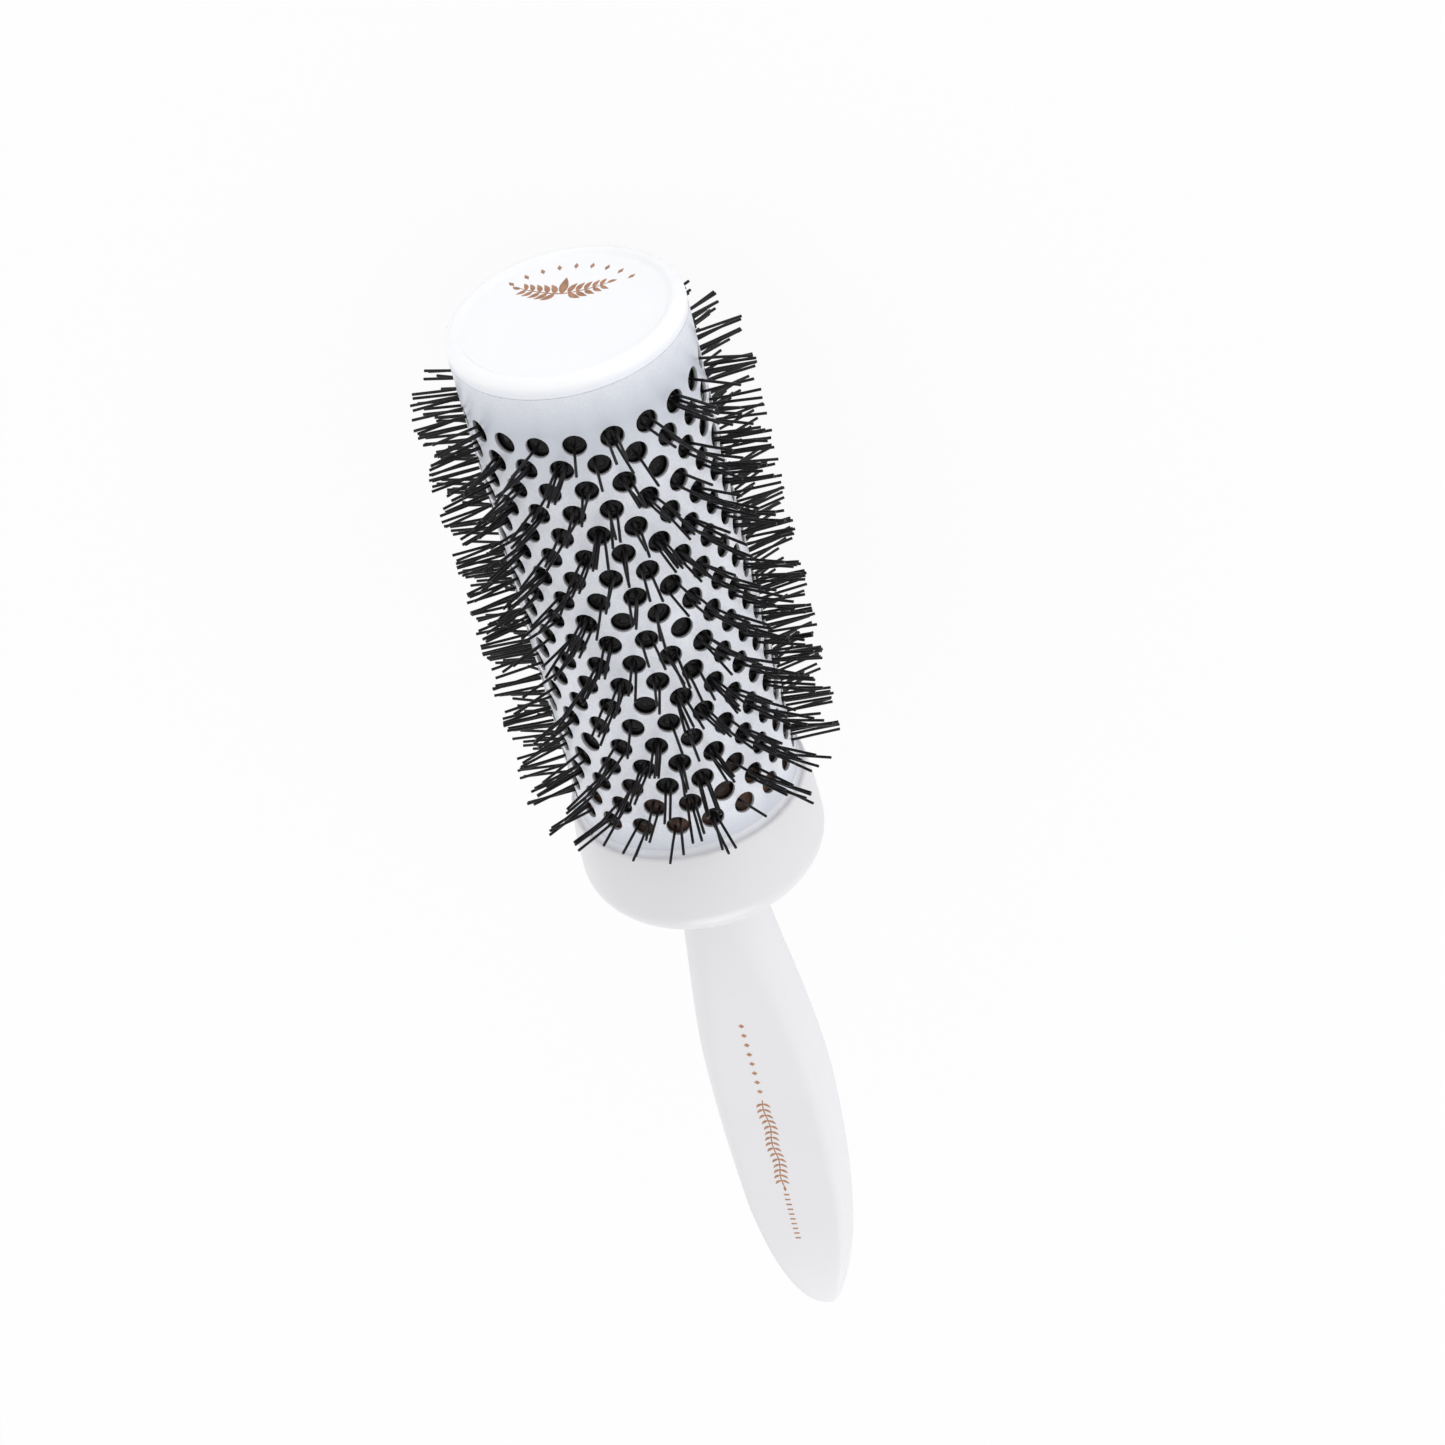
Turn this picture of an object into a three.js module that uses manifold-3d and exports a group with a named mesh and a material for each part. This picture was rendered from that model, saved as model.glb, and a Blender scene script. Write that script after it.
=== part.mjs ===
// Round barrel brush: a vented styling brush with a perforated barrel, bristles that stand out
// through its holes, an end cap, a collar and a leaf-shaped handle. Millimetres, +Z up.
// The brush lies on its bristles: its axis runs along X with the cap towards +X, and the flat
// face of the handle looks up. The origin is under the middle of the whole brush.

import * as THREE from 'three';
import { mergeVertices } from 'three/addons/utils/BufferGeometryUtils.js';
import Module from 'manifold-3d';

const wasm = await Module();
wasm.setup();

// Fits
const clearance = 0.3;
const cutOverrun = 2;
const mergeDistance = 0.0001;

// Barrel sleeve and its staggered rows of holes, counted from the cap. The offsets run from the
// first row to the edge of the cap and from the last row to the seam.
const barrelDiameter = 44.5;
const sleeveWall = 0.8;
const holeDiameter = 4.15;
const holeRows = 19;
const holesPerRow = 20;
const rowPitch = 5.05;
const capOffsetLength = 10.9;
const seamOffsetLength = 5.9;

// Bristles and the four beds that carry them
const bristleReach = 9.75;
const strandWidth = 0.9;
const strandLean = THREE.MathUtils.degToRad(7);
const strandSides = 3;
const bedCount = 4;
const bedWall = 1.2;
const bedOverrun = 3.2;
const restFlatDepth = 0.5;
const leanAlongShare = 0.618034;
const leanAroundShare = 0.754878;

// Core frame inside the beds
const coreWall = 1.5;
const coreHubRadius = 5;
const coreRibs = 4;
const coreRibWall = 1.4;

// End cap, a rounded disc flush with the barrel
const capHeight = 3.2;
const capRimWidth = 2.8;
const capDishDepth = 1.2;
const capDishEdgeWidth = 1.45;
const snapRingWall = 1.5;

// Plug at the cap end, with a well for the nut
const plugDiscWall = 1.5;
const wellDepth = 5.2;
const wellWall = 1.5;
const wellFloor = 2;
const wellRadius = 8;

// Spine rod with its washer and nut
const rodDiameter = 4.6;
const rodProud = 1.5;
const rodInHandle = 15;
const washerRadius = 5.5;
const washerWall = 0.8;
const nutAcrossFlats = 8;
const nutHeight = 4;

// Ring at the seam between barrel and collar
const seamRingLength = 0.9;
const seamRingWall = 0.6;

// Collar
const collarLength = 26.2;
const collarLipWall = 1.2;
const collarSwellHeight = 0.85;
const collarLipRound = 0.8;
const collarSocketDepth = 3.6;
const collarLedge = 2;
const collarFloor = 2.2;
const collarDomeLength = 11.6;
const collarSeatDiameter = 18.4;
const socketLength = 12.2;
const socketWall = 2;

// Plug at the collar end
const basePlugBossRadius = 9;

// Handle
const handleLength = 131.7;
const handleWidth = 26.5;
const handleNeckWidth = 17;
const handleFrontHeight = 7.5;
const handleBackHeight = 7.5;
const handleSetBack = 2.8;
const handleTipRise = 2.1;
const handleWall = 2.6;
const handleSpigotDiameter = 12.4;
const handleHollowStart = 16;
const handleHollowEnd = 7;
const insertWall = 1.6;
const insertLength = 28;

// Shares that shape the handle. Its widest place lies this far from the neck.
const handleWidestShare = 0.46;
const neckSwellPowerShare = 1.53;
const neckSetBackShare = 0.4;
const neckBackShare = 0.92;
const tipWidthPowerShare = 2.35;
const tipRoundPowerShare = 0.72;
const tipFrontPowerShare = 4;
const tipBackPowerShare = 1.6;
// The flat face widens from the neck: share of the length from the neck, share of the width
const handleFlatShares = [
  [0, 0.12],
  [0.08, 0.3],
  [0.18, 0.51],
  [0.36, 0.73],
  [0.6, 0.79],
  [0.72, 0.86],
  [1, 0.88],
];
const handleSectionShares = [
  0, 0.08, 0.16, 0.24, 0.32, 0.39, 0.46, 0.54, 0.62, 0.7, 0.78, 0.85, 0.91, 0.955, 0.985,
];
const handleHollowShares = [0, 0.2, 0.45, 0.65, 0.8, 0.9, 1];

// Facets of the round pieces
const roundSteps = 28;
const plugSteps = 16;
const rodSteps = 10;
const hubSteps = 2;
const nutSides = 6;
const lipSteps = 2;
const shoulderSteps = 2;
const domeSteps = 5;
const rimSteps = 4;
const handleSideSteps = 3;
const handleBackSteps = 8;

// Radii, from the barrel inwards
const sleeveRadius = barrelDiameter / 2;
const sleeveBore = sleeveRadius - sleeveWall;
const bedRadius = sleeveBore - clearance;
const bedBore = bedRadius - bedWall;
const coreRadius = bedBore - clearance;
const coreBore = coreRadius - coreWall;
const tipRadius = sleeveRadius + bristleReach;
const rodRadius = rodDiameter / 2;
const rodHole = rodRadius + clearance;
const socketRadius = sleeveRadius + clearance;
const spigotRadius = handleSpigotDiameter / 2;
const insertRadius = rodHole + insertWall;

// Stations along the axis, from the first row of holes: positive towards the cap
const lastRowX = -(holeRows - 1) * rowPitch;
const capUnderX = capOffsetLength;
const capTopX = capUnderX + capHeight;
const capDishX = capTopX - capDishDepth;
const bedCapX = bedOverrun;
const bedBaseX = lastRowX - bedOverrun;
const plugUnderX = bedCapX + clearance;
const plugTopX = plugUnderX + plugDiscWall;
const wellUnderX = plugUnderX - wellDepth;
const wellFloorX = wellUnderX + wellFloor;
const washerX = wellFloorX + clearance;
const nutX = washerX + washerWall + clearance;
const rodTopX = nutX + nutHeight + rodProud;
const seamX = lastRowX - seamOffsetLength;
const lipX = seamX - seamRingLength - clearance;
const ledgeX = lipX - collarSocketDepth;
const seatX = lipX - collarLength;
const domeX = seatX + collarDomeLength;
const socketTopX = seatX + socketLength;
const neckX = seatX - clearance;

const X = new THREE.Vector3(1, 0, 0);
const Y = new THREE.Vector3(0, 1, 0);
const Z = new THREE.Vector3(0, 0, 1);

// A direction on the barrel: angle 0 looks up, and it turns towards -Y
function around(radius, angle) {
  return new THREE.Vector3(0, -radius * Math.sin(angle), radius * Math.cos(angle));
}

// Points of an ellipse in the plane of x and radius, as [x, radius]
function ellipseArc(centreX, centreR, reachX, reachR, from, to, steps) {
  const points = [];
  for (let i = 0; i <= steps; i += 1) {
    const turn = from + ((to - from) * i) / steps;
    points.push([centreX + reachX * Math.sin(turn), centreR + reachR * Math.cos(turn)]);
  }
  return points;
}

// Turns a profile of [x, radius] points about the X axis. The profile starts and ends on the
// axis, or is a closed ring, and may run either way round.
function revolve(profile, steps) {
  let area = 0;
  profile.forEach(([x, r], i) => {
    const [nextX, nextR] = profile[(i + 1) % profile.length];
    area += (x * nextR - nextX * r) / 2;
  });
  const points = profile.map(([x, r]) => new THREE.Vector2(r, x));
  const onAxis = profile[0][1] === 0;
  if (!onAxis) {
    points.push(points[0].clone());
  }
  if (area > 0) {
    points.reverse();
  }
  const geometry = new THREE.LatheGeometry(points, steps);
  return geometry.applyMatrix4(new THREE.Matrix4().makeBasis(Z, X, Y));
}

// Extrudes a section, drawn in Y and Z, along X from startX to endX
function extrudeAlongX(shape, startX, endX) {
  const settings = { depth: endX - startX, bevelEnabled: false, steps: 1 };
  const geometry = new THREE.ExtrudeGeometry(shape, settings);
  geometry.applyMatrix4(new THREE.Matrix4().makeBasis(Y, Z, X));
  return geometry.translate(startX, 0, 0);
}

// Points of a circular arc in the section plane of Y and Z
function arcPoints(radius, from, to, steps) {
  const points = [];
  for (let i = 0; i <= steps; i += 1) {
    const turn = from + ((to - from) * i) / steps;
    points.push(new THREE.Vector2(radius * Math.cos(turn), radius * Math.sin(turn)));
  }
  return points;
}

// Rings of points, from the +X end to the -X end, joined into one closed skin
function loft(rings, firstPole, lastPole) {
  const count = rings[0].length;
  const points = [firstPole, ...rings.flat(), lastPole];
  const last = points.length - 1;
  const at = (ring, i) => 1 + ring * count + (i % count);
  const triangles = [];
  for (let i = 0; i < count; i += 1) {
    triangles.push(0, at(0, i), at(0, i + 1));
    for (let ring = 0; ring < rings.length - 1; ring += 1) {
      triangles.push(at(ring, i), at(ring + 1, i), at(ring, i + 1));
      triangles.push(at(ring, i + 1), at(ring + 1, i), at(ring + 1, i + 1));
    }
    triangles.push(last, at(rings.length - 1, i + 1), at(rings.length - 1, i));
  }
  return indexed(points, triangles);
}

function indexed(points, triangles) {
  const geometry = new THREE.BufferGeometry().setFromPoints(points);
  geometry.setIndex(triangles);
  geometry.computeVertexNormals();
  return geometry;
}

// A closed geometry as a solid that can be joined and cut
function solidOf(geometry) {
  const bare = new THREE.BufferGeometry();
  bare.setAttribute('position', geometry.getAttribute('position'));
  if (geometry.index) {
    bare.setIndex(geometry.index);
  }
  const merged = mergeVertices(bare, mergeDistance);
  const corners = merged.index.array;
  const triVerts = [];
  for (let i = 0; i < corners.length; i += 3) {
    const [a, b, c] = [corners[i], corners[i + 1], corners[i + 2]];
    if (a !== b && b !== c && c !== a) {
      triVerts.push(a, b, c);
    }
  }
  const vertProperties = new Float32Array(merged.getAttribute('position').array);
  const mesh = new wasm.Mesh({ numProp: 3, vertProperties, triVerts: new Uint32Array(triVerts) });
  return new wasm.Manifold(mesh);
}

function geometryOf(solid) {
  const mesh = solid.getMesh();
  const geometry = new THREE.BufferGeometry();
  geometry.setAttribute('position', new THREE.BufferAttribute(mesh.vertProperties, mesh.numProp));
  geometry.setIndex(new THREE.BufferAttribute(mesh.triVerts, 1));
  const faceted = geometry.toNonIndexed();
  faceted.computeVertexNormals();
  return faceted;
}

const finishes = {
  capWhite: { color: 0xf1f1f3, roughness: 0.35, metalness: 0 },
  pearlCoat: { color: 0xdcdfea, roughness: 0.42, metalness: 0.1 },
  bristleBlack: { color: 0x211f22, roughness: 0.4, metalness: 0 },
  coreBlack: { color: 0x1b1b1d, roughness: 0.3, metalness: 0 },
  plugBrown: { color: 0x6e5442, roughness: 0.55, metalness: 0 },
  seamGrey: { color: 0xb9bac0, roughness: 0.5, metalness: 0 },
  collarWhite: { color: 0xdfdfe1, roughness: 0.32, metalness: 0 },
  handleWhite: { color: 0xe7e7ea, roughness: 0.45, metalness: 0 },
  steel: { color: 0x9a9da1, roughness: 0.35, metalness: 1 },
  brass: { color: 0xb49350, roughness: 0.4, metalness: 1 },
};

const brush = new THREE.Group();

function addPiece(name, geometry, finish) {
  const piece = new THREE.Mesh(geometry, new THREE.MeshStandardMaterial(finishes[finish]));
  piece.name = name;
  brush.add(piece);
}

// Where a hole sits: rows shift by half a step in turn, so the holes are staggered
const holeStep = (2 * Math.PI) / holesPerRow;
const rowX = (row) => -row * rowPitch;
const rowShift = (row) => (row % 2 === 0 ? 1 : 0);
const holeAngle = (row, column) => (column + rowShift(row) / 2) * holeStep;

// The perforated tube. Each hole has six corners that enclose the area of the round hole. The
// wall between holes is a strip from edge to edge and a triangle where three holes meet.
function perforatedSleeve() {
  const corners = 6;
  const cornerRadius = (holeDiameter / 2) * Math.sqrt((2 * Math.PI) / (3 * Math.sqrt(3)));
  const cornerTurn = (corner) => ((2 * corner + 1) * Math.PI) / corners;
  const holeCount = holeRows * holesPerRow;
  const rimCount = 2 * holesPerRow;
  const perSkin = holeCount * corners + 2 * rimCount;
  const capEndX = capUnderX - clearance;
  const baseEndX = ledgeX + clearance;
  const cornerAngle = (row, column, corner) =>
    holeAngle(row, column) + (cornerRadius * Math.cos(cornerTurn(corner))) / sleeveRadius;

  const points = [];
  for (const radius of [sleeveRadius, sleeveBore]) {
    for (let row = 0; row < holeRows; row += 1) {
      for (let column = 0; column < holesPerRow; column += 1) {
        for (let corner = 0; corner < corners; corner += 1) {
          const point = around(radius, cornerAngle(row, column, corner));
          point.x = rowX(row) + cornerRadius * Math.sin(cornerTurn(corner));
          points.push(point);
        }
      }
    }
    for (const [endX, row, first, second] of [[capEndX, 0, 2, 0], [baseEndX, holeRows - 1, 3, 5]]) {
      for (let column = 0; column < holesPerRow; column += 1) {
        for (const corner of [first, second]) {
          const point = around(radius, cornerAngle(row, column, corner));
          point.x = endX;
          points.push(point);
        }
      }
    }
  }

  const wrap = (column) => (column + holesPerRow) % holesPerRow;
  const hole = (row, column, corner) => (row * holesPerRow + wrap(column)) * corners + corner;
  const rim = (end, column, side) => holeCount * corners + end * rimCount + 2 * wrap(column) + side;
  const faces = [];
  for (let column = 0; column < holesPerRow; column += 1) {
    for (let row = 0; row < holeRows; row += 1) {
      const a = (corner) => hole(row, column, corner);
      const right = (corner) => hole(row, column + 1, corner);
      faces.push([a(5), right(3), right(2), a(0)]);
      if (row > 0) {
        const upRight = (corner) => hole(row - 1, column + rowShift(row), corner);
        const upLeft = (corner) => hole(row - 1, column + rowShift(row) - 1, corner);
        faces.push([a(1), a(0), upRight(4), upRight(3)]);
        faces.push([a(2), a(1), upLeft(5), upLeft(4)]);
        faces.push([a(1), upRight(3), upLeft(5)]);
        faces.push([a(0), right(2), upRight(4)]);
      }
    }
    const top = (corner) => hole(0, column, corner);
    faces.push([top(2), top(1), rim(0, column, 0)]);
    faces.push([top(1), rim(0, column, 1), rim(0, column, 0)]);
    faces.push([top(1), top(0), rim(0, column, 1)]);
    faces.push([top(0), hole(0, column + 1, 2), rim(0, column + 1, 0), rim(0, column, 1)]);
    const bottom = (corner) => hole(holeRows - 1, column, corner);
    faces.push([bottom(3), rim(1, column, 0), bottom(4)]);
    faces.push([bottom(4), rim(1, column, 0), rim(1, column, 1)]);
    faces.push([bottom(4), rim(1, column, 1), bottom(5)]);
    const nextBottom = hole(holeRows - 1, column + 1, 3);
    faces.push([bottom(5), rim(1, column, 1), rim(1, column + 1, 0), nextBottom]);
  }

  const triangles = [];
  const addFace = (face) => {
    for (let i = 1; i < face.length - 1; i += 1) {
      triangles.push(face[0], face[i], face[i + 1]);
    }
  };
  const addWall = (from, to) => addFace([from, to, to + perSkin, from + perSkin]);
  faces.forEach((face) => {
    addFace(face);
    addFace(face.map((corner) => corner + perSkin).reverse());
  });
  for (let column = 0; column < holesPerRow; column += 1) {
    for (let row = 0; row < holeRows; row += 1) {
      for (let corner = 0; corner < corners; corner += 1) {
        addWall(hole(row, column, corner), hole(row, column, (corner + 1) % corners));
      }
    }
    addWall(rim(0, column, 0), rim(0, column, 1));
    addWall(rim(0, column, 1), rim(0, column + 1, 0));
    addWall(rim(1, column, 1), rim(1, column, 0));
    addWall(rim(1, column + 1, 0), rim(1, column, 1));
  }
  return indexed(points, triangles).toNonIndexed();
}

// How far a strand leans, as a slope: each strand has its own, spread evenly by the share
function leanSlope(row, facet, share) {
  const place = Math.abs(row * 2 * holesPerRow + facet);
  return Math.tan(strandLean * (2 * ((place * share) % 1) - 1));
}

// A quarter shell with its strands. Each facet is a flat strip that looks along one column of
// holes. A strand is a thin prism that grows out of the strip from a foot of its own corners.
function bristleBed(bed) {
  const facets = (2 * holesPerRow) / bedCount;
  const firstFacet = facets * (bed - 1 / 2);
  const halfStep = holeStep / 2;
  const halfWidth = bedRadius * Math.tan(halfStep / 2);
  const sideways = (facet) => around(1, facet * halfStep + Math.PI / 2);
  const skin = [];
  const addFace = (...corners) => {
    for (let i = 1; i < corners.length - 1; i += 1) {
      skin.push(corners[0], corners[i], corners[i + 1]);
    }
  };
  const edgePoint = (facet, side, radius, x) => {
    const edge = facet + side / 2;
    const point = around(radius / Math.cos(halfStep / 2), edge * halfStep);
    const isSplit = edge < firstFacet || edge > firstFacet + facets - 1;
    point.addScaledVector(sideways(facet), isSplit ? (-side * clearance) / 2 : 0);
    point.x = x;
    return point;
  };

  for (let facet = firstFacet; facet < firstFacet + facets; facet += 1) {
    const outline = [[-1, bedBaseX], [1, bedBaseX], [1, bedCapX], [-1, bedCapX]];
    const outer = outline.map(([side, x]) => edgePoint(facet, side, bedRadius, x));
    const inner = outline.map(([side, x]) => edgePoint(facet, side, bedBore, x));
    const flatOutline = outline.map(([side, x]) => new THREE.Vector2(side * halfWidth, x));
    const flatFeet = [];
    const corners = [...outer];
    const outward = around(1, facet * halfStep);
    for (let row = 0; row < holeRows; row += 1) {
      if (Math.abs(row + facet) % 2 === 1) {
        const middle = new THREE.Vector2(0, rowX(row));
        const foot = arcPoints(strandWidth / 2, 0, 2 * Math.PI, strandSides).slice(0, -1);
        foot.forEach((corner) => corner.add(middle));
        const feet = foot.map(({ x: across, y: x }) => {
          const point = outward.clone().multiplyScalar(bedRadius);
          point.addScaledVector(sideways(facet), across);
          point.x = x;
          return point;
        });
        const growth = outward.clone();
        growth.addScaledVector(X, leanSlope(row, facet, leanAlongShare));
        growth.addScaledVector(sideways(facet), leanSlope(row, facet, leanAroundShare));
        growth.multiplyScalar(tipRadius - bedRadius);
        const tips = feet.map((point) => point.clone().add(growth));
        feet.forEach((point, i) => {
          const next = (i + 1) % strandSides;
          addFace(point, feet[next], tips[next], tips[i]);
        });
        addFace(...tips);
        flatFeet.push(foot);
        corners.push(...feet);
      }
    }
    const flat = [...flatOutline, ...flatFeet.flat()];
    THREE.ShapeUtils.triangulateShape(flatOutline, flatFeet).forEach(([a, b, c]) => {
      const ab = flat[b].clone().sub(flat[a]);
      const ac = flat[c].clone().sub(flat[a]);
      const turned = ab.cross(ac) > 0 ? [a, b, c] : [a, c, b];
      addFace(...turned.map((i) => corners[i]));
    });
    addFace(inner[3], inner[2], inner[1], inner[0]);
    addFace(outer[1], outer[0], inner[0], inner[1]);
    addFace(outer[3], outer[2], inner[2], inner[3]);
    if (facet === firstFacet) {
      addFace(outer[0], outer[3], inner[3], inner[0]);
    }
    if (facet === firstFacet + facets - 1) {
      addFace(outer[2], outer[1], inner[1], inner[2]);
    }
  }
  const geometry = new THREE.BufferGeometry().setFromPoints(skin);
  geometry.computeVertexNormals();
  return geometry;
}

// The tips that the brush rests on are worn to one flat
function restFlat(geometry) {
  const size = 2 * tipRadius;
  const block = new THREE.BoxGeometry(bedCapX - bedBaseX + size, size, size);
  block.translate((bedCapX + bedBaseX) / 2, 0, restFlatDepth - tipRadius - size / 2);
  return geometryOf(solidOf(geometry).subtract(solidOf(block)));
}

function coreFrame() {
  const shape = new THREE.Shape(arcPoints(coreRadius, 0, 2 * Math.PI, plugSteps).slice(0, -1));
  shape.holes.push(new THREE.Path(arcPoints(rodHole, 0, 2 * Math.PI, rodSteps).slice(0, -1)));
  const quarter = (2 * Math.PI) / coreRibs;
  const outerTrim = Math.asin(coreRibWall / 2 / coreBore);
  const innerTrim = Math.asin(coreRibWall / 2 / coreHubRadius);
  for (let rib = 0; rib < coreRibs; rib += 1) {
    const start = rib * quarter;
    const end = start + quarter;
    const outerArc = arcPoints(coreBore, start + outerTrim, end - outerTrim, plugSteps / coreRibs);
    const innerArc = arcPoints(coreHubRadius, end - innerTrim, start + innerTrim, hubSteps);
    shape.holes.push(new THREE.Path([...outerArc, ...innerArc]));
  }
  return extrudeAlongX(shape, bedBaseX, wellUnderX - clearance);
}

function endCap() {
  const crestRadius = sleeveRadius - capRimWidth;
  const dishRadius = crestRadius - capDishEdgeWidth;
  const plugRingFlat = (bedRadius - snapRingWall) * Math.cos(Math.PI / plugSteps);
  const snapRadius = plugRingFlat - clearance;
  const snapEndX = plugTopX + clearance;
  return revolve([
    [capDishX, 0],
    [capDishX, dishRadius],
    [capTopX - capDishDepth / 4, crestRadius - capDishDepth / 2],
    ...ellipseArc(capUnderX, crestRadius, capHeight, capRimWidth, Math.PI / 2, 0, rimSteps),
    [capUnderX, snapRadius],
    [snapEndX, snapRadius],
    [snapEndX, snapRadius - snapRingWall],
    [capUnderX, snapRadius - snapRingWall],
    [capUnderX, 0],
  ], roundSteps);
}

function topPlug() {
  const ringTopX = capUnderX - clearance;
  return revolve([
    [wellUnderX, rodHole],
    [wellUnderX, wellRadius],
    [plugUnderX, wellRadius],
    [plugUnderX, bedRadius],
    [ringTopX, bedRadius],
    [ringTopX, bedRadius - snapRingWall],
    [plugTopX, bedRadius - snapRingWall],
    [plugTopX, wellRadius - wellWall],
    [wellFloorX, wellRadius - wellWall],
    [wellFloorX, rodHole],
  ], plugSteps);
}

function basePlug() {
  const topX = bedBaseX - clearance;
  const flangeX = ledgeX + clearance;
  const bossX = socketTopX + clearance;
  return revolve([
    [topX, rodHole],
    [topX, bedRadius],
    [flangeX, bedRadius],
    [flangeX, basePlugBossRadius],
    [bossX, basePlugBossRadius],
    [bossX, rodHole],
  ], plugSteps);
}

// A plain ring between two radii
function ring(startX, endX, bore, radius, steps) {
  return revolve([[startX, bore], [startX, radius], [endX, radius], [endX, bore]], steps);
}

function spineNut() {
  const cornerRadius = nutAcrossFlats / 2 / Math.cos(Math.PI / nutSides);
  const shape = new THREE.Shape(arcPoints(cornerRadius, 0, 2 * Math.PI, nutSides).slice(0, -1));
  shape.holes.push(new THREE.Path(arcPoints(rodHole, 0, 2 * Math.PI, rodSteps).slice(0, -1)));
  return extrudeAlongX(shape, nutX, nutX + nutHeight);
}

function spineRod() {
  const endX = neckX - rodInHandle;
  return revolve([[rodTopX, 0], [rodTopX, rodRadius], [endX, rodRadius], [endX, 0]], rodSteps);
}

// The collar is a cup: its outside swells a little below the lip and closes in a shallow dome
function collar() {
  const lipRadius = socketRadius + collarLipWall;
  const radius = lipRadius + collarSwellHeight;
  const seatRadius = collarSeatDiameter / 2;
  const cavityRadius = socketRadius - collarLedge;
  const bossRadius = spigotRadius + clearance + socketWall;
  const lipEndX = lipX - collarLipRound;
  const swellTurn = Math.acos(lipRadius / radius);
  const swellReach = (lipEndX - domeX) / Math.sin(swellTurn);
  const seatTurn = Math.acos(seatRadius / radius);
  const domeReach = collarDomeLength / Math.sin(seatTurn);
  const floorX = seatX + collarFloor;
  const floorTurn = Math.acos(bossRadius / cavityRadius);
  const floorReach = (domeX - floorX) / Math.sin(floorTurn);
  const lipRound = ellipseArc(
    lipEndX, lipRadius - collarLipRound, collarLipRound, collarLipRound, Math.PI / 2, 0, lipSteps,
  );
  return revolve([
    [lipX, socketRadius],
    ...lipRound,
    ...ellipseArc(domeX, 0, swellReach, radius, swellTurn, 0, shoulderSteps).slice(1),
    ...ellipseArc(domeX, 0, domeReach, radius, 0, -seatTurn, domeSteps).slice(1),
    [seatX, spigotRadius + clearance],
    [socketTopX, spigotRadius + clearance],
    [socketTopX, bossRadius],
    ...ellipseArc(domeX, 0, floorReach, cavityRadius, -floorTurn, 0, shoulderSteps),
    [ledgeX, cavityRadius],
    [ledgeX, socketRadius],
  ], roundSteps);
}

// Reads a table of [share, value] rows by straight lines between them
function readShares(table, share) {
  const next = table.findIndex(([start]) => start >= share);
  if (next <= 0) {
    return table[0][1];
  }
  const [lowShare, low] = table[next - 1];
  const [highShare, high] = table[next];
  return low + ((high - low) * (share - lowShare)) / (highShare - lowShare);
}

// A section of the handle, seen from the cap: a flat front face between two ridges, sides that
// belong to an ellipse cut off by that face, and a rounder back
function handleRing(share, inset) {
  const neckward = Math.max(0, 1 - share / handleWidestShare);
  const tipward = Math.max(0, (share - handleWidestShare) / (1 - handleWidestShare));
  const swell = Math.sin((Math.PI / 2) * (1 - neckward)) ** neckSwellPowerShare;
  const swollenWidth = handleNeckWidth + (handleWidth - handleNeckWidth) * swell;
  const tipRound = (1 - tipward ** tipWidthPowerShare) ** tipRoundPowerShare;
  const width = (swollenWidth / 2) * tipRound - inset;
  const backLoss = 1 - (1 - neckBackShare) * neckward;
  const middleZ = handleTipRise * tipward - handleSetBack * (1 - (1 - neckSetBackShare) * neckward);
  const front = handleFrontHeight * Math.sqrt(1 - tipward ** tipFrontPowerShare) - inset;
  const back = handleBackHeight * backLoss * Math.sqrt(1 - tipward ** tipBackPowerShare) - inset;
  const flatShare = readShares(handleFlatShares, share);
  const crown = front / Math.sqrt(1 - flatShare ** 2);
  const ridgeTurn = Math.acos(flatShare);
  const x = neckX - share * handleLength;
  const points = [];
  for (let i = 0; i <= handleSideSteps; i += 1) {
    const turn = (ridgeTurn * i) / handleSideSteps;
    points.push(new THREE.Vector3(x, width * Math.cos(turn), middleZ + crown * Math.sin(turn)));
  }
  for (let i = handleSideSteps; i >= 0; i -= 1) {
    points.push(new THREE.Vector3(x, -points[i].y, points[i].z));
  }
  for (let i = 1; i < handleBackSteps; i += 1) {
    const turn = Math.PI * (1 + i / handleBackSteps);
    points.push(new THREE.Vector3(x, width * Math.cos(turn), middleZ + back * Math.sin(turn)));
  }
  return points;
}

function handle() {
  const rings = handleSectionShares.map((share) => handleRing(share, 0));
  const neckPole = new THREE.Vector3(neckX, 0, 0);
  const tipPole = new THREE.Vector3(neckX - handleLength, 0, handleTipRise - handleSetBack);
  const body = solidOf(loft(rings, neckPole, tipPole));

  const hollowSpan = handleLength - handleHollowStart - handleHollowEnd;
  const hollowRings = handleHollowShares.map((share) =>
    handleRing((handleHollowStart + share * hollowSpan) / handleLength, handleWall));
  const hollowStartX = neckX - handleHollowStart;
  const hollowEndX = hollowStartX - hollowSpan;
  const hollow = solidOf(loft(
    hollowRings,
    new THREE.Vector3(hollowStartX, 0, 0),
    new THREE.Vector3(hollowEndX, 0, handleTipRise - handleSetBack),
  ));

  const insertHole = insertRadius + clearance;
  const spigotEndX = neckX - cutOverrun;
  const spigot = solidOf(revolve([
    [spigotEndX, 0],
    [spigotEndX, spigotRadius],
    [socketTopX, spigotRadius],
    [socketTopX, 0],
  ], plugSteps));
  const boreEndX = hollowStartX - cutOverrun;
  const boreTopX = socketTopX + cutOverrun;
  const bore = solidOf(revolve([
    [boreEndX, 0],
    [boreEndX, insertHole],
    [boreTopX, insertHole],
    [boreTopX, 0],
  ], plugSteps));
  return body.add(spigot).subtract(hollow).subtract(bore);
}

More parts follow.
